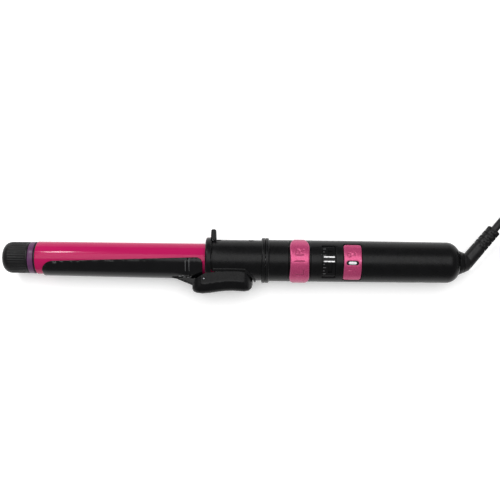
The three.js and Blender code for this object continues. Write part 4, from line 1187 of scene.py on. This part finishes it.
def strokes_relief(strokes, half_width, depth):
    """Engraved strokes, each a line of (x, v) points."""
    segments = [pair for stroke in strokes for pair in zip(stroke, stroke[1:])]

    def relief(u, v):
        best = 9.0
        for (x0, y0), (x1, y1) in segments:
            dx, dy = x1 - x0, y1 - y0
            share = min(1, max(0, ((u - x0) * dx + (v - y0) * dy) / (dx * dx + dy * dy)))
            best = min(best, math.hypot(u - x0 - share * dx, v - y0 - share * dy))
        return depth * min(1, max(0, (half_width + 0.12 - best) / 0.2))

    return relief


BAND_X = 26.75


def band_outline():
    """The direction band: slightly waisted, its ends drawn in where it meets the grip's sides."""
    edge = []
    for i in range(81):
        angle = -77 + 166 * i / 80
        width = 7.75 - 0.4 * (1 - min(1, abs(angle - 4) / 45) ** 2)
        toward_top = max(0, (-angle - 32) / 45)
        toward_bottom = max(0, (angle - 46) / 43)
        width -= 3.7 * toward_top**2.2 + 3.2 * toward_bottom**2.2
        edge.append((width, angle * HANDLE_DEGREE))
    return [(BAND_X + w, v) for w, v in edge] + [(BAND_X - w, v) for w, v in reversed(edge)]


def letters():
    """Generic direction marks: L, a centre bar and R, read with the tip upwards."""
    def drawn(angle, lines):
        centre = angle * HANDLE_DEGREE
        return [[(BAND_X - y, centre - x) for x, y in line] for line in lines]
    tall, wide = 2.9, 1.9
    mark_l = [[(-wide, tall), (-wide, -tall), (wide, -tall)]]
    mark_r = [
        [(-wide, -tall), (-wide, tall), (0.4, tall), (wide, tall - 0.9), (wide, 0.9), (0.4, 0), (-wide, 0)],
        [(0.2, 0), (wide, -tall)],
    ]
    bar = [[(0, tall + 0.3), (0, -tall - 0.3)]]
    return drawn(-24, mark_r) + drawn(1, bar) + drawn(31, mark_l)


mark_dense = [
    (23.0, 30.5, (a - 9) * HANDLE_DEGREE, (a + 9) * HANDLE_DEGREE, 0.28) for a in (-24, 31)
] + [(23.0, 30.5, -2.5 * HANDLE_DEGREE, 4.5 * HANDLE_DEGREE, 0.28)]
band = skin(
    band_outline(), sheet_at(17.6), 0.95, edge=0.85, grid=(1.5, 1.0),
    dense=mark_dense, relief=strokes_relief(letters(), 0.42, 0.4),
)
piece("direction_band", band, "direction_button", "pearl_pink_plastic", ["direction_button"], sharp=60)

window_sheet = skin(
    arc_patch(44.3, 54.8, -47.3, 51.3, 1.5), sheet_at(15.75), 0.8, edge=0.2, grid=(1.2, 0.9),
    holes=[arc_patch(48.9, 52.1, -33.5, 35.5, 0.6)],
)
piece("temperature_window", window_sheet, "handle", "window_gloss_black", ["window_plate"], sharp=60)

ticks = []
for i, angle in enumerate((-38, -28, -18, 8, 18, 28, 38)):
    long_mark = 2.2 if i % 2 == 0 else 1.3
    ticks.append(
        skin(
            arc_patch(45.0, 45.0 + long_mark, angle - 0.9, angle + 0.9, 0.1, 2), sheet_at(15.8), 0.09,
            edge=0.03, grid=(0.6, 0.4),
        )
    )
piece("window_marks", merged(*ticks), "handle", finish=print_grey)

KNOB_ANGLE = -6
knob = skin(
    arc_patch(45, 54.2, KNOB_ANGLE - 9, KNOB_ANGLE + 9, 0.5), sheet_at(16.6), 0.75, edge=0.25,
    grid=(0.8, 0.5),
)
stem = skin(
    arc_patch(49.4, 51.6, KNOB_ANGLE - 3.5, KNOB_ANGLE + 3.5, 0.3), sheet_at(16.0), 1.2, edge=0.1,
    grid=(0.8, 0.5),
)
guard = skin(arc_patch(47.6, 53.4, -39, 41, 0.5), sheet_at(14.65), 0.3, edge=0.1, grid=(1.2, 0.9))
piece("slot_dust_guard", guard, "handle", "black_satin_plastic")
piece("slider_knob", merged(knob, stem), "temperature_slider", "black_satin_plastic", ["temperature_slider"])
# Painted highlight: the ridge tops are white to stand in for the light they catch.
ridges = [
    skin(
        arc_patch(45.3, 53.9, KNOB_ANGLE + side * 6 - 1.75, KNOB_ANGLE + side * 6 + 1.75, 0.4),
        sheet_at(17.0), 0.5, edge=0.2, grid=(0.8, 0.4),
    )
    for side in (-1, 1)
]
piece("slider_ridges", merged(*ridges), "temperature_slider", finish=ridge_painted_highlight)


LENS_X, LENS_ANGLE = 67.9, 3.5
stadium = []
for k in range(25):
    a = math.radians(-90 + 180 * k / 24)
    stadium.append((2.75 + 1.6 * math.cos(a), 1.6 * math.sin(a)))
stadium += [(-u, -v) for u, v in stadium]


def stadium_at(scale):
    """The lens's long round outline, at a share of its full size."""
    return [(LENS_X + u * scale, LENS_ANGLE * HANDLE_DEGREE + v * scale) for u, v in stadium]


def mark_line(x0, a0, x1, a1):
    return [(x0, a0 * HANDLE_DEGREE), (x1, a1 * HANDLE_DEGREE)]


mark_ring = ring_of(65.6, -20 * HANDLE_DEGREE, 1.35, count=20)
power_marks = [
    mark_ring + mark_ring[:1], mark_line(69.9, -25.5, 69.9, -18.5),
    mark_line(65.0, 24, 67.0, 24), mark_line(69.2, 30, 70.6, 30),
]
plate = skin(
    arc_patch(61.2, 75, -54, 62, 2.3), sheet_at(16.4), 1.3, edge=0.5, grid=(1.2, 0.9),
    holes=[stadium_at(1.0)],
    dense=[
        fine_patch(63.6, 67.2, -27.5, -16.5), fine_patch(69.0, 70.8, -27.5, -16.5),
        fine_patch(64.4, 67.6, 21.5, 26.5), fine_patch(68.6, 71.2, 27.5, 32.5),
    ],
    relief=strokes_relief(power_marks, 0.28, 0.38),
)
piece("power_plate", plate, "power_rocker", "pearl_pink_plastic", ["power_rocker"], sharp=60)
slot_rim = skin(
    stadium_at(1.14), sheet_at(16.5), 1.1, edge=0.2, grid=(0.6, 0.5), holes=[stadium_at(0.76)]
)
piece("lens_rim", slot_rim, "power_rocker", finish=finishes["black_satin_plastic"])
lens = skin(stadium_at(0.74), sheet_at(16.35), 0.8, edge=0.35, grid=(0.5, 0.4))
piece("indicator_light", lens, "power_rocker", "lens_clear", ["indicator_lens"])

# ---- Cord outlet ----------------------------------------------------------------------------------------

collar_profile = rounded(
    [(138, 0), (138, 5.6), (147, 5.6), (147, 10.4), (149, 10.4), (149, 7.9), (153.9, 7.9),
     (153.9, 9.95, 0.3), (157.6, 8.5, 0.35), (157.6, 0)], steps=4,
)
piece("cord_swivel_collar", lathe(collar_profile, 112), "cord_set", "black_satin_plastic", ["swivel_collar"])

root_profile = rounded(
    [(157.9, 0), (157.9, 8.3, 0.35), (162.4, 6.3, 2.2), (165, 3.6, 1), (165, 0)], steps=6
)
boot_along = Vector((math.cos(BOOT_ANGLE), math.sin(BOOT_ANGLE), 0))
boot_across = Vector((-math.sin(BOOT_ANGLE), math.cos(BOOT_ANGLE), 0))


def boot_place(s, angle, radius):
    a = math.radians(angle)
    sideways = boot_across * (radius * math.cos(a)) + Vector((0, 0, 1)) * (radius * math.sin(a))
    return at(ELBOW_X, 0, 0) + (boot_along * s + sideways) * MM


SLOT_STARTS = [16.3 + 2.25 * k for k in range(8)]
SLOT_WIDTH = 1.1


def slotted(s, angle, radius):
    """Slots round the strain relief, left whole by two webs that swap sides from one slot to the next."""
    if radius < 4.9:
        return radius
    for k, start in enumerate(SLOT_STARTS):
        inward = min(s - start, start + SLOT_WIDTH - s)
        if inward > -0.02:
            web_angle = 45 + 90 * (k % 2)
            off_web = abs((angle - web_angle + 90) % 180 - 90)
            open_share = min(1, max(0, (off_web - 26) / 5))
            return radius - 0.9 * open_share * min(1, (inward + 0.02) / 0.14)
    return radius


boot_rows = [(-1.2, 0), (-1.2, 5.6)]
row_places = sorted(
    {0.0, 4.0, 8.0, 12.0, 15.5, 34.0}
    | {round(start + d, 3) for start in SLOT_STARTS for d in (-0.14, -0.01, 0.13, SLOT_WIDTH / 2,
                                                              SLOT_WIDTH - 0.13, SLOT_WIDTH + 0.01,
                                                              SLOT_WIDTH + 0.14)}
)
boot_rows += [(s, 5.75 - 0.35 * s / BOOT_LENGTH) for s in row_places]
boot_rows += [(34.45, 5.3), (34.6, 5.05), (34.6, 3.15), (33.6, 3.05), (33.6, 0)]
root = lathe(root_profile, 96)
boot = lathe(boot_rows, 120, slotted, boot_place)
piece("strain_relief_boot", merged(root, boot), "cord_set", "black_rubber", ["strain_relief"], sharp=40)

# ---- Plug -----------------------------------------------------------------------------------------------

PLUG_X, PLUG_ENTRY_Y, PLUG_HEIGHT = 264, 33, 19.1  # it lies on the coil
PLUG_HALF_THICKNESS = 6.9


def plug_place(u, v, depth):
    return on_table(u, v, PLUG_HEIGHT + PLUG_HALF_THICKNESS - 0.05 - depth)


relief_end = PLUG_ENTRY_Y - 0.3 - 16
face_y = PLUG_ENTRY_Y - 52
plug_outline = rounded(
    [
        (PLUG_X - 6.3, relief_end + 1, 2), (PLUG_X - 9.5, relief_end - 5, 8), (PLUG_X - 17.5, relief_end - 15, 7),
        (PLUG_X - 17.5, face_y, 3.2), (PLUG_X + 17.5, face_y, 3.2), (PLUG_X + 17.5, relief_end - 15, 7),
        (PLUG_X + 9.5, relief_end - 5, 8), (PLUG_X + 6.3, relief_end + 1, 2),
    ],
    closed=True, steps=6,
)


def grip_ribs(u, v):
    """Finger ribs on the plug's upper face."""
    share = max(0.0, 1 - (abs(u - PLUG_X) / 8.5) ** 4) * max(0.0, 1 - ((v - relief_end + 19) / 8.5) ** 4)
    return 0.28 * share * (0.5 + 0.5 * math.cos(2 * math.pi * (v - relief_end) / 2.6))


plug_body = skin(
    plug_outline, plug_place, 13.7, edge=3.4, back_edge=3.4, grid=(1.2, 1.2), relief=grip_ribs,
    dense=[(PLUG_X - 9, PLUG_X + 9, relief_end - 28, relief_end - 10, 0.6)],
)


def along_plug(y, angle, radius):
    a = math.radians(angle)
    return on_table(PLUG_X + radius * math.cos(a), y, PLUG_HEIGHT + radius * math.sin(a))


plug_rows = [(PLUG_ENTRY_Y - 0.3, 0), (PLUG_ENTRY_Y - 0.3, 3.1)]
for k in range(5):
    y = PLUG_ENTRY_Y - 1.2 - 2.9 * k
    r = 3.7 + 0.4 * k
    plug_rows += [(y + 0.7, r), (y - 0.9, r + 0.2), (y - 1.1, r - 0.5), (y - 1.8, r - 0.4)]
plug_rows += [(relief_end, 5.6), (relief_end - 2, 5.6), (relief_end - 2, 0)]
plug_piece = piece(
    "plug_moulding", merged(plug_body, lathe(plug_rows, 48, place=along_plug)), "cord_set", "black_rubber",
    ["plug_body"], sharp=50,
)
pins, sleeves = [], []
for side, node in ((-1, "plug_pin_live"), (1, "plug_pin_neutral")):
    def pin_place(y, angle, radius, side=side):
        a = math.radians(angle)
        return on_table(PLUG_X + side * 9.5 + radius * math.cos(a), y, PLUG_HEIGHT + radius * math.sin(a))
    tip_rows = rounded(
        [(face_y + 5, 0), (face_y + 5, 1.95), (face_y - 19, 1.95, 1.3), (face_y - 19, 0)], steps=6
    )
    pins.append(piece(f"{node}_rod", lathe(tip_rows, 32, place=pin_place), "cord_set", "plated_brass", [node]))
    sleeve_rows = rounded(
        [(face_y + 1, 1.9), (face_y + 1, 2.0), (face_y - 9.8, 2.0, 0.04), (face_y - 10, 1.9)], steps=2
    )
    sleeves.append(
        piece(f"{node}_sleeve", lathe(sleeve_rows + sleeve_rows[:1], 32, place=pin_place), "cord_set",
              "black_rubber")
    )
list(pins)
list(sleeves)

# ---- Floor and light ------------------------------------------------------------------------------------

floor_finish = Shader(
    "pale_floor", (0.93, 0.93, 0.93), 0.9, Specular_IOR_Level=0.0,
    Emission_Color=(1, 1, 1, 1), Emission_Strength=0.25,
)
floor_finish.bump(floor_finish.noise(60, 2), 0.0001, 0.1)
floor_mesh = bpy.data.meshes.new("floor")
floor_mesh.from_pydata([(-4, -4, 0), (4, -4, 0), (4, 4, 0), (-4, 4, 0)], [], [(0, 1, 2, 3)])
floor = linked("floor", floor_mesh)
floor_mesh.materials.append(floor_finish.material)


def area_light(name, place, aim, width, height, power, colour=(1, 1, 1)):
    data = bpy.data.lights.new(name, "AREA")
    data.shape = "RECTANGLE"
    data.size, data.size_y = width, height
    data.energy = power
    data.color = colour
    made = linked(name, data)
    made.location = place
    made.rotation_euler = (Vector(aim) - Vector(place)).to_track_quat("-Z", "Y").to_euler()
    return made


area_light("overhead_softbox", (-0.05, 0.37, 1.3), (-0.05, 0.37, 0), 1.6, 1.0, 15.5)
area_light("strip", (-0.63, 0.98, 1.05), (-0.17, 0, 0), 0.26, 0.1, 7.0)

world = bpy.data.worlds.new("studio")
world.use_nodes = True
world.node_tree.nodes["Background"].inputs["Color"].default_value = (1.0, 1.0, 1.0, 1)
world.node_tree.nodes["Background"].inputs["Strength"].default_value = 0.42
bpy.context.scene.world = world
bpy.context.scene.view_settings.view_transform = "Standard"
